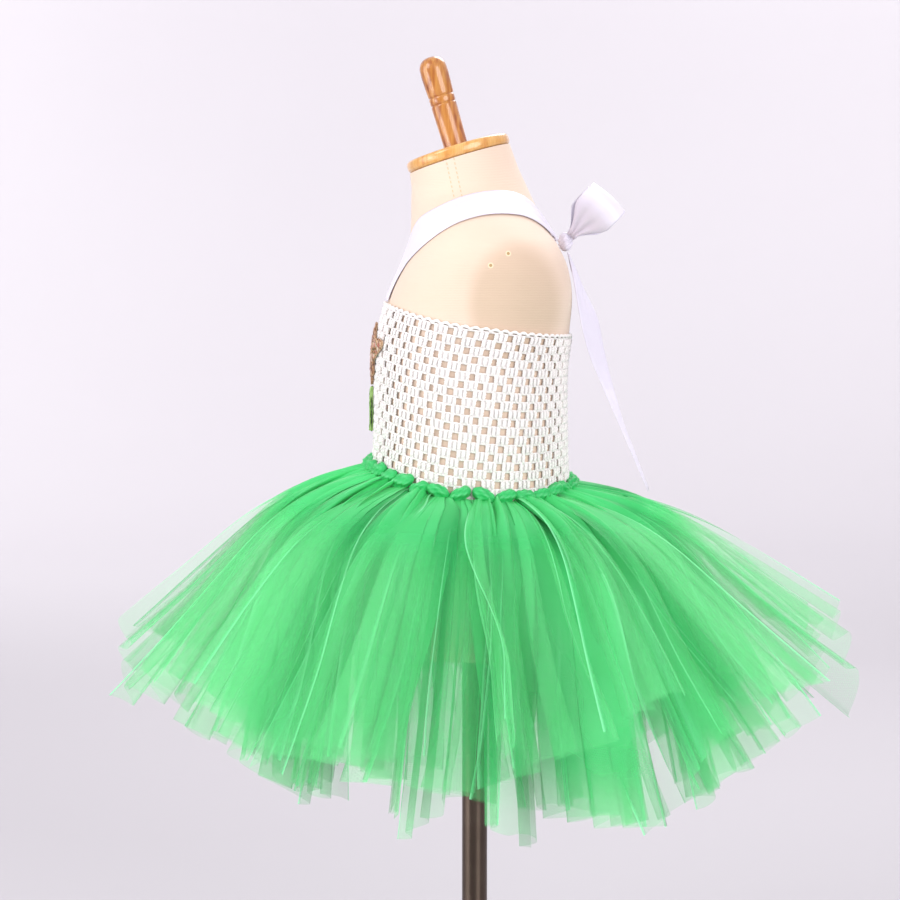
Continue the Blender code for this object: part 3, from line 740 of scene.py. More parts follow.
def build_light():
    for row in LIGHTS:
        light = bpy.data.lights.new(row.name, "AREA")
        light.shape = "DISK"
        light.size = row.size
        light.energy = row.power
        aimed(linked(row.name, light), Vector(row.place), Vector(row.target))
    world = bpy.data.worlds.new("studio")
    world.use_nodes = True
    backdrop = world.node_tree.nodes["Background"]
    backdrop.inputs["Color"].default_value = linear("#F6F4F8")
    backdrop.inputs["Strength"].default_value = 0.95
    scene = bpy.context.scene
    scene.world = world
    scene.view_settings.view_transform = "Standard"
    scene.cycles.transparent_max_bounces = 16
    scene.cycles.max_bounces = 3


def build_camera():
    """The photograph's view: from the wearer's left, a little above the form's shoulder."""
    half = PHOTO_SIDE / 2
    middle = Vector((0, (half - POLE_COLUMN) * PIXEL, (FLOOR_ROW - half) * PIXEL)) * MM
    eye = Vector((CAMERA_DISTANCE * MM, middle.y, (FLOOR_ROW - EYE_ROW) * PIXEL * MM))
    lens = bpy.data.cameras.new("camera")
    lens.sensor_width = SENSOR_WIDTH
    lens.lens = SENSOR_WIDTH * (middle - eye).length / (PHOTO_SIDE * PIXEL * MM)
    bpy.context.scene.camera = aimed(linked("camera", lens), eye, middle)


# The form and its stand


def build_form(cloth):
    low, high = FORM_ROWS[0].height, FORM_ROWS[-1].height

    def skin(u, v):
        return form_point(360 * u, high + (low - high) * v)

    torso = grid_piece("form_body", FORM_SIDES, FORM_RINGS, skin)
    merged(torso, fill_ends=True)
    torso.data.set_sharp_from_angle(angle=math.radians(50))
    keep(torso, "form_cloth", cloth, "torso")


def neck_place(above):
    """The place and turn of something set above the neck's top along its leaning axis."""
    top = FORM_ROWS[-1]
    turn = Matrix.Rotation(math.radians(top.lean), 4, "X")
    middle = Vector((0, (top.front + top.back) / 2, top.height)) * MM
    return Matrix.Translation(middle + turn @ Vector((0, 0, above * MM))) @ turn


def rounded_edge(radius, low, high, corner):
    """The rim of a disc with rounded corners, from its top face to its bottom face."""
    top = []
    for turn in map(math.radians, (90, 67, 45, 22, 0)):
        out, up = corner * math.cos(turn), corner * math.sin(turn)
        top.append((radius - corner + out, high - corner + up))
    bottom = [(r, low + high - h) for r, h in reversed(top)]
    return top + bottom


def build_neck(cap_wood, handle_wood):
    rim = rounded_edge(CAP_RADIUS, 0, CAP_THICKNESS, 3.4)
    cap = turned("neck_disc", [(0, CAP_THICKNESS), *rim, (0, 0)], neck_place(SEAM_GAP))
    keep(cap, "wood", cap_wood, "neck_cap")
    outline = [(radius, share * HANDLE_LENGTH) for share, radius in reversed(HANDLE_PROFILE)]
    above = neck_place(CAP_THICKNESS + 2 * SEAM_GAP)
    handle = turned("neck_peg", [(0, HANDLE_LENGTH), *outline, (0, 0)], above)
    keep(handle, "wood", handle_wood, "neck_handle")


def build_stand(metal):
    # The collar runs out into the foot in a curve.
    curve, curve_top = 8, FOOT_THICKNESS + 10
    foot = [
        (0, FOOT_HEIGHT),
        (FOOT_COLLAR_RADIUS - 2, FOOT_HEIGHT),
        (FOOT_COLLAR_RADIUS - 0.6, FOOT_HEIGHT - 0.6),
        (FOOT_COLLAR_RADIUS, FOOT_HEIGHT - 2),
        (FOOT_COLLAR_RADIUS, curve_top),
    ]
    for step in range(1, 9):
        turn = math.radians(90 * step / 8)
        out, down = curve * (1 - math.cos(turn)), curve * math.sin(turn) * 0.85
        foot.append((FOOT_COLLAR_RADIUS + out, curve_top - down))
    foot += [
        (60, FOOT_THICKNESS + 2.4),
        (FOOT_RADIUS - 12, FOOT_THICKNESS),
        (FOOT_RADIUS - 5, FOOT_THICKNESS - 1.6),
        (FOOT_RADIUS - 1.4, FOOT_THICKNESS - 4.5),
        (FOOT_RADIUS, FOOT_THICKNESS - 8),
        (FOOT_RADIUS, 0),
        (0, 0),
    ]
    keep(turned("round_foot", foot, steps=128), "bright_metal", metal, "base")
    socket_low = FORM_ROWS[0].height - SEAM_GAP - SOCKET_THICKNESS
    low, high = FOOT_HEIGHT + SEAM_GAP, socket_low - SEAM_GAP
    tube = [
        (0, high),
        (POLE_RADIUS - 0.5, high),
        (POLE_RADIUS, high - 0.5),
        (POLE_RADIUS, low + 0.5),
        (POLE_RADIUS - 0.5, low),
        (0, low),
    ]
    keep(turned("stand_tube", tube), "bright_metal", metal, "pole")
    socket = [
        (0, SOCKET_THICKNESS),
        (SOCKET_RADIUS, SOCKET_THICKNESS),
        (SOCKET_RADIUS, SOCKET_THICKNESS - 3.2),
        (SOCKET_RADIUS - 0.8, SOCKET_THICKNESS - 4),
        (POLE_RADIUS + 6, SOCKET_THICKNESS - 6),
        (POLE_RADIUS + 5, SOCKET_THICKNESS - 7),
        (POLE_RADIUS + 5, 0.6),
        (POLE_RADIUS + 4.4, 0),
        (0, 0),
    ]
    flange = turned("tube_flange", socket, Matrix.Translation((0, 0, socket_low * MM)))
    keep(flange, "bright_metal", metal, "pole_socket")


# The crochet


def even_angles(columns):
    """Angles that share the oval form's girth evenly."""
    fine = np.linspace(0, 360, 721)
    height = (BODICE_TOP[0] + WAIST[0]) / 2
    girth = np.array([form_point(angle, height) for angle in fine])
    run = np.concatenate([[0], np.cumsum(np.linalg.norm(np.diff(girth, axis=0), axis=1))])
    return np.interp(np.linspace(0, run[-1], columns + 1), run, fine)


def bodice_ground(columns=180, rows=60):
    """Points and normals of the form under the bodice, in rows from its top edge down."""
    points = np.zeros((rows + 1, columns + 1, 3))
    for c, angle in enumerate(even_angles(columns)):
        high = edge_height(BODICE_TOP, angle)
        low = edge_height(WAIST, angle) - BODICE_BELOW_WAIST
        for r in range(rows + 1):
            points[r, c] = form_point(angle, high + (low - high) * r / rows)
    around = np.zeros_like(points)
    around[:, 1:-1] = points[:, 2:] - points[:, :-2]
    around[:, 0] = around[:, -1] = points[:, 1] - points[:, -2]
    normals = np.cross(np.gradient(points, axis=0), around)
    return points, normals / np.linalg.norm(normals, axis=2, keepdims=True)


def over_ground(ground, across, down, distance):
    """Points over the bodice's ground. Places run in clusters round it and rows down it.

    The columns of clusters slant a little, and the rows grow taller towards the waist."""
    rows, columns = ground[0].shape[0] - 1, ground[0].shape[1] - 1
    x = (across - CLUSTER_SLANT * down) / CLUSTERS % 1 * columns
    y = np.clip(down / CLUSTER_ROWS, 0, 1)
    y = y * (0.93 + 0.07 * y) * rows
    left, top = np.minimum(x.astype(int), columns - 1), np.minimum(y.astype(int), rows - 1)
    x, y = (x - left)[..., None], (y - top)[..., None]
    found = []
    for table in ground:
        above = table[top, left] * (1 - x) + table[top, left + 1] * x
        below = table[top + 1, left] * (1 - x) + table[top + 1, left + 1] * x
        found.append(above * (1 - y) + below * y)
    return found[0] + found[1] * distance[..., None] * MM


def yarn_tubes(name, lines, radius, sides=5, closed=False):
    """One mesh of yarn round many lines of as many points each."""
    count, length = lines.shape[:2]
    if closed:
        along = np.roll(lines, -1, axis=1) - np.roll(lines, 1, axis=1)
    else:
        along = np.gradient(lines, axis=1)
    along /= np.linalg.norm(along, axis=2, keepdims=True)
    outward = lines - np.array([0, 0, 1]) * lines[..., 2:]
    first = np.cross(along, outward)
    first /= np.linalg.norm(first, axis=2, keepdims=True)
    second = np.cross(along, first)
    turns = math.tau * np.arange(sides) / sides
    widths = np.full(length, radius * MM)
    if not closed:
        widths[[0, -1]] *= 0.45
    ring = np.cos(turns)[:, None] * first[..., None, :]
    ring = ring + np.sin(turns)[:, None] * second[..., None, :]
    points = (lines[..., None, :] + ring * widths[:, None, None]).reshape(-1, 3)
    starts = np.arange(count)[:, None, None] * length * sides
    steps = np.arange(length if closed else length - 1)[None, :, None]
    side = np.arange(sides)[None, None, :]
    here, after = steps * sides, (steps + 1) % length * sides
    beside = (side + 1) % sides
    corners = (here + side, here + beside, after + beside, after + side)
    faces = np.stack([starts + corner for corner in corners], axis=-1).reshape(-1, 4).tolist()
    if not closed:
        for start in range(0, count * length * sides, length * sides):
            last = start + (length - 1) * sides
            faces.append([start + s for s in reversed(range(sides))])
            faces.append([last + s for s in range(sides)])
    return mesh_piece(name, points.tolist(), faces)


def build_stitches(ground, chance):
    """Clusters of three stitches, each of two strands that wind about each other."""
    share = np.linspace(0, 1, 7)
    halves = {"front": [], "back": []}
    for row in range(CLUSTER_ROWS):
        down = row + 0.02 + 0.96 * share
        for cluster in range(CLUSTERS):
            middle = cluster + 0.5 * (row % 2) + chance.uniform(-0.035, 0.035)
            loose = chance.uniform(0.9, 1.12)
            start = chance.uniform(0, math.tau)
            half = "front" if math.cos(math.tau * middle / CLUSTERS) > 0 else "back"
            for stitch in (-1, 0, 1):
                across = middle + stitch * loose * (STITCH_ASIDE - 0.02 * share)
                for strand in (0, math.pi):
                    wind = start + stitch + strand + math.tau * STITCH_TURNS * share
                    arch = STITCH_ARCH * np.sin(np.pi * share)
                    out = STITCH_OUT + STITCH_WIND * np.sin(wind) + arch
                    halves[half].append((across + 0.06 * np.cos(wind), down, out))
    pieces = []
    for half, strands in halves.items():
        lines = over_ground(ground, *(np.array(part) for part in zip(*strands)))
        pieces.append(yarn_tubes(f"stitches_{half}", lines, STITCH_YARN))
    return pieces


def build_chains(ground, chance):
    """The rows of chain that the clusters are worked into, and the picot edge over the top one."""
    loops = 2
    count = CLUSTERS * loops * 6
    at = np.arange(count) / count * CLUSTERS
    strands = []
    for row in range(CLUSTER_ROWS + 1):
        start = chance.uniform(0, math.tau)
        for strand in (0, math.pi):
            wind = start + strand + math.tau * loops * at
            down = np.clip(row + 0.05 * np.cos(wind), 0, CLUSTER_ROWS)
            strands.append((at, down, CHAIN_OUT + CHAIN_WIND * np.sin(2 * wind + start)))
    lines = over_ground(ground, *(np.array(part) for part in zip(*strands)))
    picots = []
    rise = np.abs(np.sin(math.tau * at + 0.3)) ** 0.7
    for strand in (0, math.pi):
        wind = strand + 2 * math.tau * at
        out = PICOT_OUT + PICOT_WIND * np.sin(wind)
        edge = over_ground(ground, at, np.zeros(count), out)
        edge[:, 2] += (0.2 + PICOT_RISE * rise + 0.5 * np.cos(wind)) * MM
        picots.append(edge)
    return [
        yarn_tubes("chains", lines, CHAIN_YARN, closed=True),
        yarn_tubes("picot_edge", np.array(picots), PICOT_YARN, closed=True),
    ]


def build_bodice(yarn):
    """The net that the crochet makes, with its yarn worked over it."""
    ground = bodice_ground()
    columns, rows = CLUSTERS * CELL_COLUMNS, CLUSTER_ROWS * CELL_ROWS
    across = np.arange(columns + 1) / CELL_COLUMNS
    across, down = np.meshgrid(across, np.arange(rows + 1) / CELL_ROWS)
    points = over_ground(ground, across, down, np.full(across.shape, NET_OUT))
    net = laid_grid("bodice_net", points, BODICE_FLAT)
    for polygon in net.data.polygons:
        up, column = divmod(polygon.index, columns)
        row = rows - 1 - up
        shift = CELL_COLUMNS // 2 * (row // CELL_ROWS % 2)
        is_open = (column + shift) % CELL_COLUMNS in OPEN_CELLS
        polygon.select = is_open and row % CELL_ROWS != 0
    for part in (*net.data.vertices, *net.data.edges):
        part.select = False
    select_only(net)
    bpy.context.tool_settings.mesh_select_mode = (False, False, True)
    bpy.ops.object.mode_set(mode="EDIT")
    bpy.ops.mesh.delete(type="FACE")
    bpy.ops.object.mode_set(mode="OBJECT")
    merged(net)
    keep(net, "yarn", yarn, "bodice")
    chance = random.Random(7)
    worked = build_stitches(ground, chance) + build_chains(ground, chance)
    for piece in worked:
        keep(piece, "yarn", yarn)


# The appliqué


def front_patch(x, height, distance):
    """A point over the front of the bodice."""
    return over_form(angle_of_x(x, height), height, distance)


def flower_reach(turn):
    """How far the flower reaches from its middle: round petals, and a long leaf at each side."""
    petals = FLOWER_RADIUS * (1 + PETAL_DEPTH * math.cos(FLOWER_PETALS * turn))
    leaf = 0
    for side in (LEAF_TURN, math.pi - LEAF_TURN):
        apart = math.remainder(turn - side, math.tau)
        leaf += LEAF_REACH * math.exp(-((apart / LEAF_WIDTH) ** 2))
    return petals + leaf


def flower_place(turn, share, above):
    """A place on the domed flower at a share of its reach."""
    reach = flower_reach(turn) * share
    height = FLOWER_HEIGHT + reach * math.sin(turn)
    rise = FLOWER_RISE * (1 - share**3)
    return reach * math.cos(turn), height, FELT_CLEAR + rise + above


def stem_edges(height):
    """How far the stem's right and left edges lie to the wearer's left at a height."""
    stop = smooth_row(STEM_ROWS[::-1], height)
    return stop.middle - stop.right, stop.middle + stop.left


def sewn_place(x, height, distance, tilt, chance):
    """Where a sequin or bead is sewn on, turned to the form and tilted a little at random."""
    angle = angle_of_x(x, height)
    turn = form_normal(angle, height).to_track_quat("Z", "Y").to_matrix().to_4x4()
    skew = Matrix.Rotation(math.radians(chance.uniform(-tilt, tilt)), 4, "X")
    skew @= Matrix.Rotation(math.radians(chance.uniform(-tilt, tilt)), 4, "Y")
    return Matrix.Translation(over_form(angle, height, distance)) @ turn @ skew


def sewn_on(name, stamp, spots, chance, tilt=0):
    """One mesh of a stamp's copies, one at each spot, each with its own tilt and tone.

    The stamp itself is then deleted."""
    places = [sewn_place(*spot, tilt, chance) for spot in spots]
    corners = [v.co.copy() for v in stamp.data.vertices]
    shapes = [list(p.vertices) for p in stamp.data.polygons]
    points, faces, tones = [], [], []
    for place in places:
        first = len(points)
        points += [place @ corner for corner in corners]
        faces += [[first + i for i in shape] for shape in shapes]
        tones += [chance.random()] * len(corners)
    bpy.data.objects.remove(stamp, do_unlink=True)
    piece = mesh_piece(name, points, faces)
    mark_points(piece, "tone", tones)
    piece.data.set_sharp_from_angle(angle=math.radians(40))
    return piece


def sequin_stamp(radius):
    """A cupped disc with a rim and a hole's dimple in its middle."""
    face = [(0, 0.15), (0.4, 0.2), (radius - 0.35, 0.62), (radius, 0.55)]
    back = [(radius, 0.35), (0.4, 0), (0, 0)]
    return turned("sequin", face + back, steps=10)


def bead_stamp(radius):
    turns = [math.radians(90 - 36 * i) for i in range(6)]
    profile = [(radius * math.cos(t), radius * math.sin(t)) for t in turns]
    profile[0], profile[-1] = (0, radius), (0, -radius)
    return turned("bead", profile, steps=8)


def hex_grid(low_x, high_x, low_z, high_z, spacing):
    """Points spread evenly over a field, in rows set half a space aside in turn."""
    rise = spacing * math.sqrt(3) / 2
    for row in range(int((high_z - low_z) / rise) + 1):
        for column in range(int((high_x - low_x) / spacing) + 2):
            yield low_x + (column - 0.5 * (row % 2)) * spacing, low_z + row * rise


def keep_motif(motif, felt, spots, edge, finishes, chance):
    """Keeps a motif's felt, with sequins sewn on at its spots and beads along its edge."""
    stamp = sequin_stamp(motif.sequin)
    sequins = sewn_on(f"{motif.name}_sequins", stamp, spots, chance, motif.tilt)
    beads = sewn_on(f"{motif.name}_beads", bead_stamp(motif.bead), edge, chance)
    keep(felt, motif.slot, finishes[0], f"applique_{motif.name}")
    keep(sequins, motif.slot, finishes[1])
    keep(beads, motif.slot, finishes[2])


def flower_point(u, v):
    """A point of the flower's felt, u of the way round and v of the way out."""
    return front_patch(*flower_place(math.tau * u, max(v, 0.0001), 0))


def build_flower(chance, *finishes):
    felt = thickened(merged(grid_piece("flower_felt", FLOWER_PETALS * 20, 12, flower_point)))
    spots = []
    for x, z in hex_grid(*FLOWER_FIELD, FLOWER_SPACING):
        turn = math.atan2(z, x)
        share = math.hypot(x, z) / flower_reach(turn)
        if share < FLOWER_FILLED:
            spots.append(flower_place(turn, share, APPLIQUE_WALL))
    turns = [math.tau * i / FLOWER_BEADS for i in range(FLOWER_BEADS)]
    edge = [flower_place(turn, FLOWER_EDGE, APPLIQUE_WALL + 0.3) for turn in turns]
    keep_motif(FLOWER, felt, spots, edge, finishes, chance)


def stem_point(u, v):
    """A point of the stem's felt, u of the way across and v of the way down."""
    stop = along_rows(STEM_ROWS, v)
    x = stop.middle - stop.right + (stop.right + stop.left) * u
    return front_patch(x, stop.height, FELT_CLEAR + STEM_RISE * (1 - (2 * u - 1) ** 2))


def build_stem(chance, *finishes):
    felt = thickened(grid_piece("stem_felt", 8, 40, stem_point))
    low, high = STEM_ROWS[-1].height, STEM_ROWS[0].height
    spots = []
    for x, height in hex_grid(-14, 14, low + 1, high - 1, STEM_SPACING):
        right, left = stem_edges(height)
        if right + 0.7 < x < left - 0.7:
            rise = STEM_RISE * (1 - ((2 * x - left - right) / (left - right)) ** 2)
            spots.append((x, height, FELT_CLEAR + rise + APPLIQUE_WALL))
    edge = []
    for i in range(STEM_BEADS):
        height = low + (high - low) * i / (STEM_BEADS - 1)
        edge += [(x, height, FELT_CLEAR + APPLIQUE_WALL) for x in stem_edges(height)]
    keep_motif(STEM, felt, spots, edge, finishes, chance)


def build_applique():
    chance = random.Random(11)
    build_flower(
        chance,
        felt_cloth("brown_felt", "#C49C78", "#DDBE9C"),
        sequin_film("copper_sequins", ("#AC7448", "#DDB488", "#F4E0C6", "#C06A54")),
        sequin_film("brown_beads", ("#9A6A48", "#B88A64", "#CCA480", "#8A5A40")),
    )
    build_stem(
        chance,
        felt_cloth("green_felt", "#98C860", "#B2DA7C"),
        sequin_film("green_sequins", ("#8CC34A", "#B4E070", "#CDEE96", "#9CD45A")),
        sequin_film("dark_beads", ("#0E140C", "#1C2616", "#2A3820", "#141C10")),
    )


# The tulle


def tail_draws():
    """The uneven lie of each tail, in the order in which the solids draw it."""
    chance = random.Random(32)
    draws = {}
    for layer in ("upper", "lower"):
        for number in range(TAILS):
            jitter, mean = chance.uniform(-1.2, 1.2), chance.uniform(-1.6, 1.6)
            length = chance.uniform(0.95, 1.03)
            for _ in range(SOLID_FOLDS):
                chance.uniform(0.7, 1.15)
            draws[layer, number] = (jitter, mean, length, chance.uniform(-0.035, 0.035))
    return draws


def tail_course(mean_angle, length):
    """How far out and down a tail has gone, and its slope, at each of its rows of points."""
    fine = 200
    shares = (np.arange(fine) + 0.5) / fine
    bent = eased(0, TAIL_BENT_BY, shares)
    slope = np.radians(mean_angle * (TAIL_FIRST + (TAIL_LAST - TAIL_FIRST) * bent))
    out = np.concatenate([[0], np.cumsum(np.cos(slope))]) * length / fine
    down = np.concatenate([[0], np.cumsum(np.sin(slope))]) * length / fine
    slope = np.concatenate([slope[:1], slope])
    at = np.linspace(0, 1, TAIL_ROWS + 1) ** 1.15
    ends = np.linspace(0, 1, fine + 1)
    return at, np.interp(at, ends, out), np.interp(at, ends, down), np.interp(at, ends, slope)


def pleat(angle):
    """A wave with flat sides and tightly turned crests."""
    return np.arcsin(0.97 * np.sin(angle)) / math.asin(0.97)


def folded_section(half_width, at, chance):
    """A tail's section at each of its rows: how far each point lies to the side and up."""
    s = np.linspace(-1, 1, TAIL_COLUMNS + 1)[None, :]
    v, half = at[:, None], half_width[:, None]
    starts = [chance.uniform(0, math.tau) for _ in range(5)]
    folds = chance.uniform(*FOLDS)
    doubled = chance.uniform(*DOUBLED)
    depth = chance.uniform(*FOLD_DEPTH)
    tilt = chance.uniform(*FOLD_TILT)
    # The folds are unevenly wide, and wander on their way to the hem.
    uneven = s + 0.16 * np.sin(math.pi * s + starts[1]) + 0.08 * np.sin(5 * s + starts[2])
    wave = math.pi * folds * uneven + starts[0] + 0.9 * np.sin(2.2 * v + starts[3])
    # Their flat sides lie partly doubled, and they tilt, open from the knot and are gathered there.
    side = (1 - doubled) * s + doubled * pleat(wave)
    side = half * side / np.abs(side).max(axis=1, keepdims=True)
    lift = (0.5 + depth * eased(0, 0.6, v)) * np.cos(wave)
    lift += tilt * eased(0.05, 0.6, v) * pleat(0.5 * wave + starts[3])
    gathers = 0.45 * np.cos(math.pi * 7.9 * uneven + starts[4] + v)
    gathers += 0.6 * np.cos(math.pi * 4.3 * uneven + starts[3])
    lift += (4.6 * (1 - eased(0.02, 0.85, v)) + 0.2) * gathers
    lift += 0.8 * np.sin(2.6 * s + 6 * v + starts[4]) * eased(0.2, 0.8, v)
    return s, side, lift


def fitted(side, lift, at):
    """Deepens or flattens a tail's folds until they hold about the flat strip's cloth."""
    for _ in range(40):
        widths = np.hypot(np.diff(side, axis=1), np.diff(lift, axis=1)).sum(axis=1)
        share = np.sum((widths[1:] + widths[:-1]) / 2 * np.diff(at)) / STRIP_WIDTH
        if share < LEAST_CLOTH:
            lift = lift * 1.06
        elif share > MOST_CLOTH:
            lift = lift * 0.95
    return lift


def turned_over(side, lift, v, turn, chance):
    """Twists a tail about its middle line: how far it now lies to the side and up, and its turn.

    Tails at the front and back hang turned on edge, and a few lie right over."""
    hanging = math.copysign(chance.uniform(*HANGING_TURN), math.sin(turn)) * -math.cos(turn)
    twist = math.radians(hanging + chance.uniform(*UNEVEN_TURN))
    if chance.random() < OVER_TAILS:
        twist = math.radians(chance.choice((-1, 1)) * chance.uniform(*OVER_BY))
    twist = twist * eased(0.05, 0.8, v)
    across = side * np.cos(twist) - lift * np.sin(twist)
    return across, side * np.sin(twist) + lift * np.cos(twist), twist


def tail_marks(layer, side, lift, half_width, v):
    """A tail's marks: its creases and edges, painted lighter as a highlight; how high its folds
    lie, whose valleys are painted darker as shade; and how dense it lies.
    """
    crest = np.abs(np.gradient(side, axis=1)) / (half_width[:, None] * 2 / TAIL_COLUMNS)
    # A fold's turned edge and a selvedge are denser than the flat cloth between them, and are
    # painted lighter there as a highlight.
    crease = 0.55 * np.clip(1 - crest / 0.5, 0, 1) * eased(0.04, 0.25, v)
    crease[:, 1:4] *= 0.4
    crease[:, -4:-1] *= 0.4
    crease[:, [0, -1]] = 1
    flat_cover, thin_from = (0.42, 0.7) if layer == "lower" else (0, 0.5)
    cover = flat_cover + (0.85 - flat_cover) * (1 - eased(0, thin_from, v))
    cover = np.maximum(0.8 * crease, cover * (1 - 0.8 * eased(0.78, 1, v)))
    # How high each point lies in its fold; the valleys are painted darker from it, as shade.
    ridge = lift - lift.mean(axis=1, keepdims=True)
    ridge = ridge / np.abs(ridge).max(axis=1, keepdims=True)
    return {"crease": crease, "ridge": ridge, "cover": cover}


def tulle_tail(layer, number, draw, chance, tulle):
    """One tail: a wide strip gathered at its knot, which opens into long folds towards its hem."""
    row = [row for row in LAYER_ROWS if row.layer == layer][number % 2]
    jitter, mean, length_share, slant = draw
    waist_angle = 360 * (number + 0.5) / TAILS
    turn = math.radians(waist_angle + jitter)
    outward = np.array([math.sin(turn), -math.cos(turn), 0])
    leftward = np.array([math.cos(turn), math.sin(turn), 0])
    upward = np.array([0, 0, 1])
    facing = math.cos(turn)
    end = row.front if facing > 0 else row.back
    length = TAIL_LENGTH * length_share
    if chance.random() < SHORT_TAILS:
        length *= chance.uniform(*SHORT_BY)
    mean_angle = row.side + (end - row.side) * facing * facing + mean
    at, out, down, slope = tail_course(mean_angle, length)
    height = edge_height(WAIST, waist_angle) - row.drop - COLLAR_HEIGHT
    root = np.array(over_form(waist_angle, height, COLLAR_CLEAR + KNOT_BULGE / 2))
    radius = math.hypot(root[0], root[1]) / MM + out
    full = math.pi * radius / TAILS * TAIL_WIDTH
    opened = chance.uniform(*USUAL_WIDTH)
    if chance.random() < WIDE_TAILS:
        opened = chance.uniform(*WIDE_BY)
    half_width = NECK_WIDTH / 2 + (full * opened - NECK_WIDTH / 2) * eased(0, 0.1, at)
    s, side, lift = folded_section(half_width, at, chance)
    lift = fitted(side, lift, at)
    v = at[:, None]
    curl = chance.uniform(0, math.tau)
    side += chance.uniform(*SWAY) * v**1.3 + 6 * math.sin(curl) * np.sin(3.4 * v)
    side, lift, twist = turned_over(side, lift, v, turn, chance)
    lift -= side**2 / (2.2 * radius[:, None]) + 0.9 * half_width[:, None] * np.abs(np.sin(twist))
    further = (slant * length + chance.uniform(*SWAY)) * s * v**2
    further += 2.5 * np.sin(7.3 * s + curl) * v**4
    normal = outward * np.sin(slope)[:, None] + upward * np.cos(slope)[:, None]
    along = outward * np.cos(slope)[:, None] - upward * np.sin(slope)[:, None]
    middle = root + (outward * out[:, None] - upward * down[:, None]) * MM
    shift = leftward * side[..., None] + normal[:, None, :] * lift[..., None]
    shift = shift + along[:, None, :] * further[..., None]
    points = middle[:, None, :] + shift * MM
    marks = tail_marks(layer, side, lift, half_width, v)
    tail = laid_grid(f"tail_{layer}_{number}", points, (STRIP_WIDTH, length), marks)
    tail.data.materials.append(tulle)
    return tail


def knot_stamp(bunched):
    """The loop of a hitch knot: a plump gathered band over the edge of the crochet."""
    add = bpy.ops.mesh.primitive_uv_sphere_add
    knot = primitive("knot", add, segments=40, ring_count=14, radius=1)
    knot.data.transform(Matrix.Rotation(math.pi / 2, 4, "Y"))
    long, deep, high = HITCH_SIZE
    ridge_highlights = []
    for vertex in knot.data.vertices:
        x, y, z = vertex.co
        about = math.atan2(y, z)
        # Two sets of gathers wind round the band against each other.
        gather = 0.14 * math.cos(5 * about + 4 * x) + 0.08 * math.cos(9 * about - 6 * x)
        # The gathers' crests are painted lighter, as a highlight.
        ridge_highlights.append(max(0, 1.4 * gather) * (1 - x**4))
        belt = 1 + gather * (1 - x**4) - 0.08 * math.cos(math.pi * x)
        vertex.co = Vector((long * x, deep * y * belt, high * z * belt)) * MM
    mark_points(knot, "crease", ridge_highlights)
    knot.data.materials.append(bunched)
    return knot


def build_skirt(tulle, bunched):
    """Each strip is folded in half and hitched to the crochet, so its knot has two tails."""
    draws = tail_draws()
    chance = random.Random(5)
    stamp = knot_stamp(bunched)
    for number in range(TAILS):
        angle = 360 * (number + 0.5) / TAILS
        height = edge_height(WAIST, angle) - HITCH_DROP + chance.uniform(*HITCH_RISE)
        place = Matrix.Translation(over_form(angle, height, HITCH_OUT))
        place @= Matrix.Rotation(math.radians(angle), 4, "Z")
        roll = Matrix.Rotation(math.radians(chance.uniform(*HITCH_LEAN)), 4, "Y")
        roll @= Matrix.Rotation(math.radians(chance.uniform(0, 360)), 4, "X")
        size = (chance.uniform(*HITCH_LONG), 1, chance.uniform(*HITCH_HIGH), 1)
        knot = linked("knot", stamp.data.copy())
        knot.data.transform(place @ roll @ Matrix.Diagonal(size))
        tails = [
            tulle_tail(layer, number, draws[layer, number], chance, tulle)
            for layer in ("upper", "lower")
        ]
        strip = joined(f"tulle_strip_{number + 1:02d}", [*tails, knot])
        sector = SECTORS[number * len(SECTORS) // TAILS]
        keep(strip, "tulle", tulle, f"skirt_upper_{sector}", f"skirt_lower_{sector}")
    bpy.data.objects.remove(stamp, do_unlink=True)


# The ribbon


def mirrored(points):
    """Rows of points for the other side of the body."""
    return points[:, ::-1] * np.array([-1, 1, 1])


def line_length(points):
    """The length in millimetres of the middle line of rows of points."""
    middle = points[:, points.shape[1] // 2]
    return float(np.linalg.norm(np.diff(middle, axis=0), axis=1).sum() / MM)


def halter_points(steps=110, cells=20):
    """The left ribbon laid on the form: flat over the shoulder and gathered at both ends."""
    torso = bpy.data.objects["form_body"]
    corners = [v.co.copy() for v in torso.data.vertices]
    skin = BVHTree.FromPolygons(corners, [list(p.vertices) for p in torso.data.polygons])
    stops = [along_rows(HALTER_ROWS, i / steps) for i in range(steps + 1)]
    path = [over_form(stop.angle, stop.height, RIBBON_CLEAR) for stop in stops]
    points = np.zeros((steps + 1, cells + 1, 3))
    for i, (middle, stop) in enumerate(zip(path, stops)):
        before, after = path[max(i - 1, 0)], path[min(i + 1, steps)]
        out = skin.find_nearest(middle)[1]
        across = (after - before).cross(out).normalized()
        gathered = 1 - stop.width / RIBBON_WIDTH
        for c in range(cells + 1):
            s = c / cells - 0.5
            wanted = middle + across * s * stop.width * MM
            place = skin.find_nearest(wanted)[0]
            lift = wanted - place
            lift = lift if lift.dot(out) > 0 else -lift
            lift = lift.normalized() if lift.length > 1e-5 else out
            pleats = 0.5 + 0.5 * math.cos(math.tau * HALTER_PLEATS * s + 0.6)
            pleats = pleats * HALTER_PLEAT_DEPTH * gathered
            drape = HALTER_DRAPE * (0.5 + 0.5 * math.sin(9 * s + i / steps * 5))
            drape *= math.sin(math.pi * i / steps)
            points[i, c] = place + lift * (RIBBON_CLEAR + pleats + drape) * MM
    return points


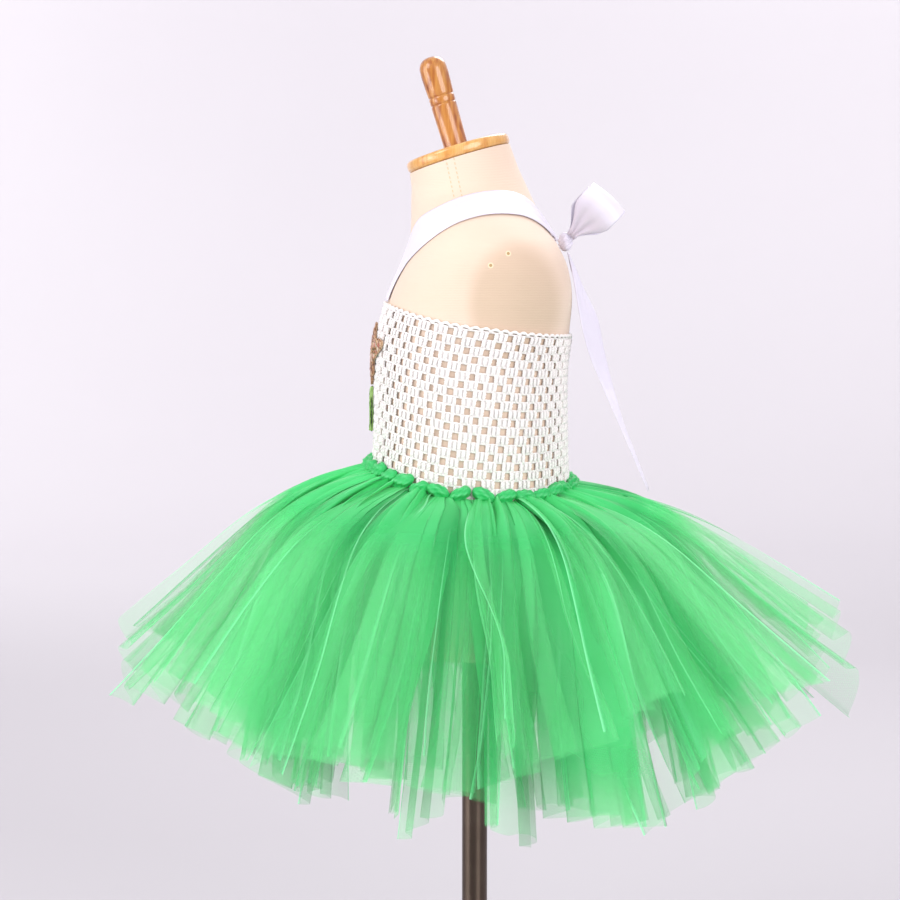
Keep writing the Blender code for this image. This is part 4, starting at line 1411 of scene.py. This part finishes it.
def loop_points(steps=64, cells=24):
    """A bow loop: the ribbon leaves the knot in pleats, opens, turns round and comes back."""
    axis, across = LOOP_AXIS.normalized(), LOOP_ACROSS.normalized()
    depth = axis.cross(across)
    pleat = 1 + KNOT_PLEAT * math.cos(KNOT_PLEATS * math.atan2(axis.y, axis.x))
    radii = Vector((KNOT_RADII.x * pleat, KNOT_RADII.y * pleat, KNOT_RADII.z))
    knot_edge = 1 / Vector(a / r for a, r in zip(axis, radii)).length
    start = KNOT_CENTRE + axis * (knot_edge + LOOP_CLEAR)
    points = np.zeros((steps + 1, cells + 1, 3))
    for i in range(steps + 1):
        share = i / steps
        reach = math.sin(math.pi * share) ** 0.8
        width = RIBBON_WIDTH * (LOOP_PINCH + (1 - LOOP_PINCH) * eased(0, 0.75, reach))
        open_by = LOOP_DEPTH * math.sin(math.tau * share) * (0.4 + 0.6 * reach)
        open_by += LOOP_ENDS_APART * math.cos(math.pi * share)
        pleated = 1 - eased(0.15, 0.95, reach)
        for c in range(cells + 1):
            s = 0.5 - c / cells
            fold = math.copysign(1, math.cos(math.pi * share)) * pleated * reach**0.3
            ripple = LOOP_PLEAT_DEPTH * fold * math.cos(math.tau * LOOP_PLEATS * s)
            bow = LOOP_DRAPE * math.sin(4 * s + 3 * share) * math.sin(math.pi * share)
            place = start + axis * (LOOP_LENGTH * reach + bow) + across * s * width
            points[i, c] = (place + depth * (open_by + ripple)) * MM
    return points


def bow_tail_points(twisted=1, set_back=0, steps=70, cells=18):
    """A bow tail: pleated where it leaves the knot, then a share of a long soft twist.

    Its end hangs set_back millimetres further behind."""
    points = np.zeros((steps + 1, cells + 1, 3))
    for i in range(steps + 1):
        share = i / steps
        stop = along_rows(BOW_TAIL_ROWS, share)
        turn = math.radians(stop.twist) * twisted
        across = Vector((math.cos(turn), math.sin(turn), 0))
        away = Vector((-across.y, across.x, 0))
        gathered = 1 - stop.width / RIBBON_WIDTH
        for c in range(cells + 1):
            s = 0.5 - c / cells
            fold = BOW_TAIL_PLEAT_DEPTH * gathered * math.cos(math.tau * BOW_TAIL_PLEATS * s)
            fold *= eased(0, 0.1, share)
            cup = BOW_TAIL_DRAPE * math.cos(math.pi * s) * math.sin(3 * math.pi * share) * share
            middle = Vector((stop.x, stop.y + set_back * share, stop.z)) + away * (fold + cup)
            points[i, c] = (middle + across * s * stop.width) * MM
    return points


def build_bow_knot(satin):
    add = bpy.ops.mesh.primitive_uv_sphere_add
    knot = primitive("bow_wrap", add, segments=80, ring_count=40, radius=1)
    for vertex in knot.data.vertices:
        x, y, z = vertex.co
        pleat = 1 + KNOT_PLEAT * math.cos(KNOT_PLEATS * math.atan2(y, x)) * (1 - z * z)
        # Creases run slanting across the wrap.
        crease = 0.9 - 0.13 * (0.5 + 0.5 * math.cos(13 * (z - 0.6 * y) + 3 * x)) * (1 - z * z)
        size = Vector((KNOT_RADII.x * pleat, KNOT_RADII.y * pleat, KNOT_RADII.z)) * crease
        vertex.co = (Vector((x * size.x, y * size.y, z * size.z)) + KNOT_CENTRE) * MM
    keep(knot, "satin", satin, "bow_knot")
    return knot


def build_ribbons(satin):
    """One ribbon each side: from the bodice over the shoulder to the bow, a loop and a tail."""
    knot = build_bow_knot(satin)
    stretches = (
        ("halter", "halter", halter_points(), "laid", ["form_body", "chains"]),
        ("loop", "bow_loop", loop_points(), "folded", ["bow_wrap"]),
        ("streamer", "bow_tail", bow_tail_points(), "hung", ["bow_wrap"]),
    )
    right_tail = bow_tail_points(RIGHT_TAIL_TURN, RIGHT_TAIL_BACK)
    for kind, node, points, held, rests_on in stretches:
        length = line_length(points)
        other = mirrored(right_tail if kind == "streamer" else points)
        for side, rows in (("left", points), ("right", other)):
            piece = laid_grid(f"{kind}_{side}_ribbon", rows, (RIBBON_WIDTH, length))
            thickened(piece, RIBBON_WALL)
            keep(piece, "satin", satin, f"{node}_{side}")


def main():
    build_camera()
    build_stage()
    build_light()
    build_form(form_cloth())
    build_neck(
        lacquered_pine("lacquered_pine_cap", ("#DE9A4E", "#E8AE5C", "#EFBD70", "#F4CC88")),
        lacquered_pine("lacquered_pine_handle", ("#863F10", "#B46C24", "#CC8A3A", "#DEA65A")),
    )
    build_stand(chrome_plate())
    build_bodice(acrylic_yarn())
    build_applique()
    build_skirt(
        nylon_tulle("nylon_tulle", 0.26, 0.14, 0.28, "#2CD468", "#60EA92"),
        # The knots' tulle is a darker copy: partly the deeper green of many layers, partly painted
        # shade.
        nylon_tulle("bunched_tulle_painted_shade", 1.0, 0.94, 0, "#16AC52", "#34CC70"),
    )
    build_ribbons(satin_weave())


main()
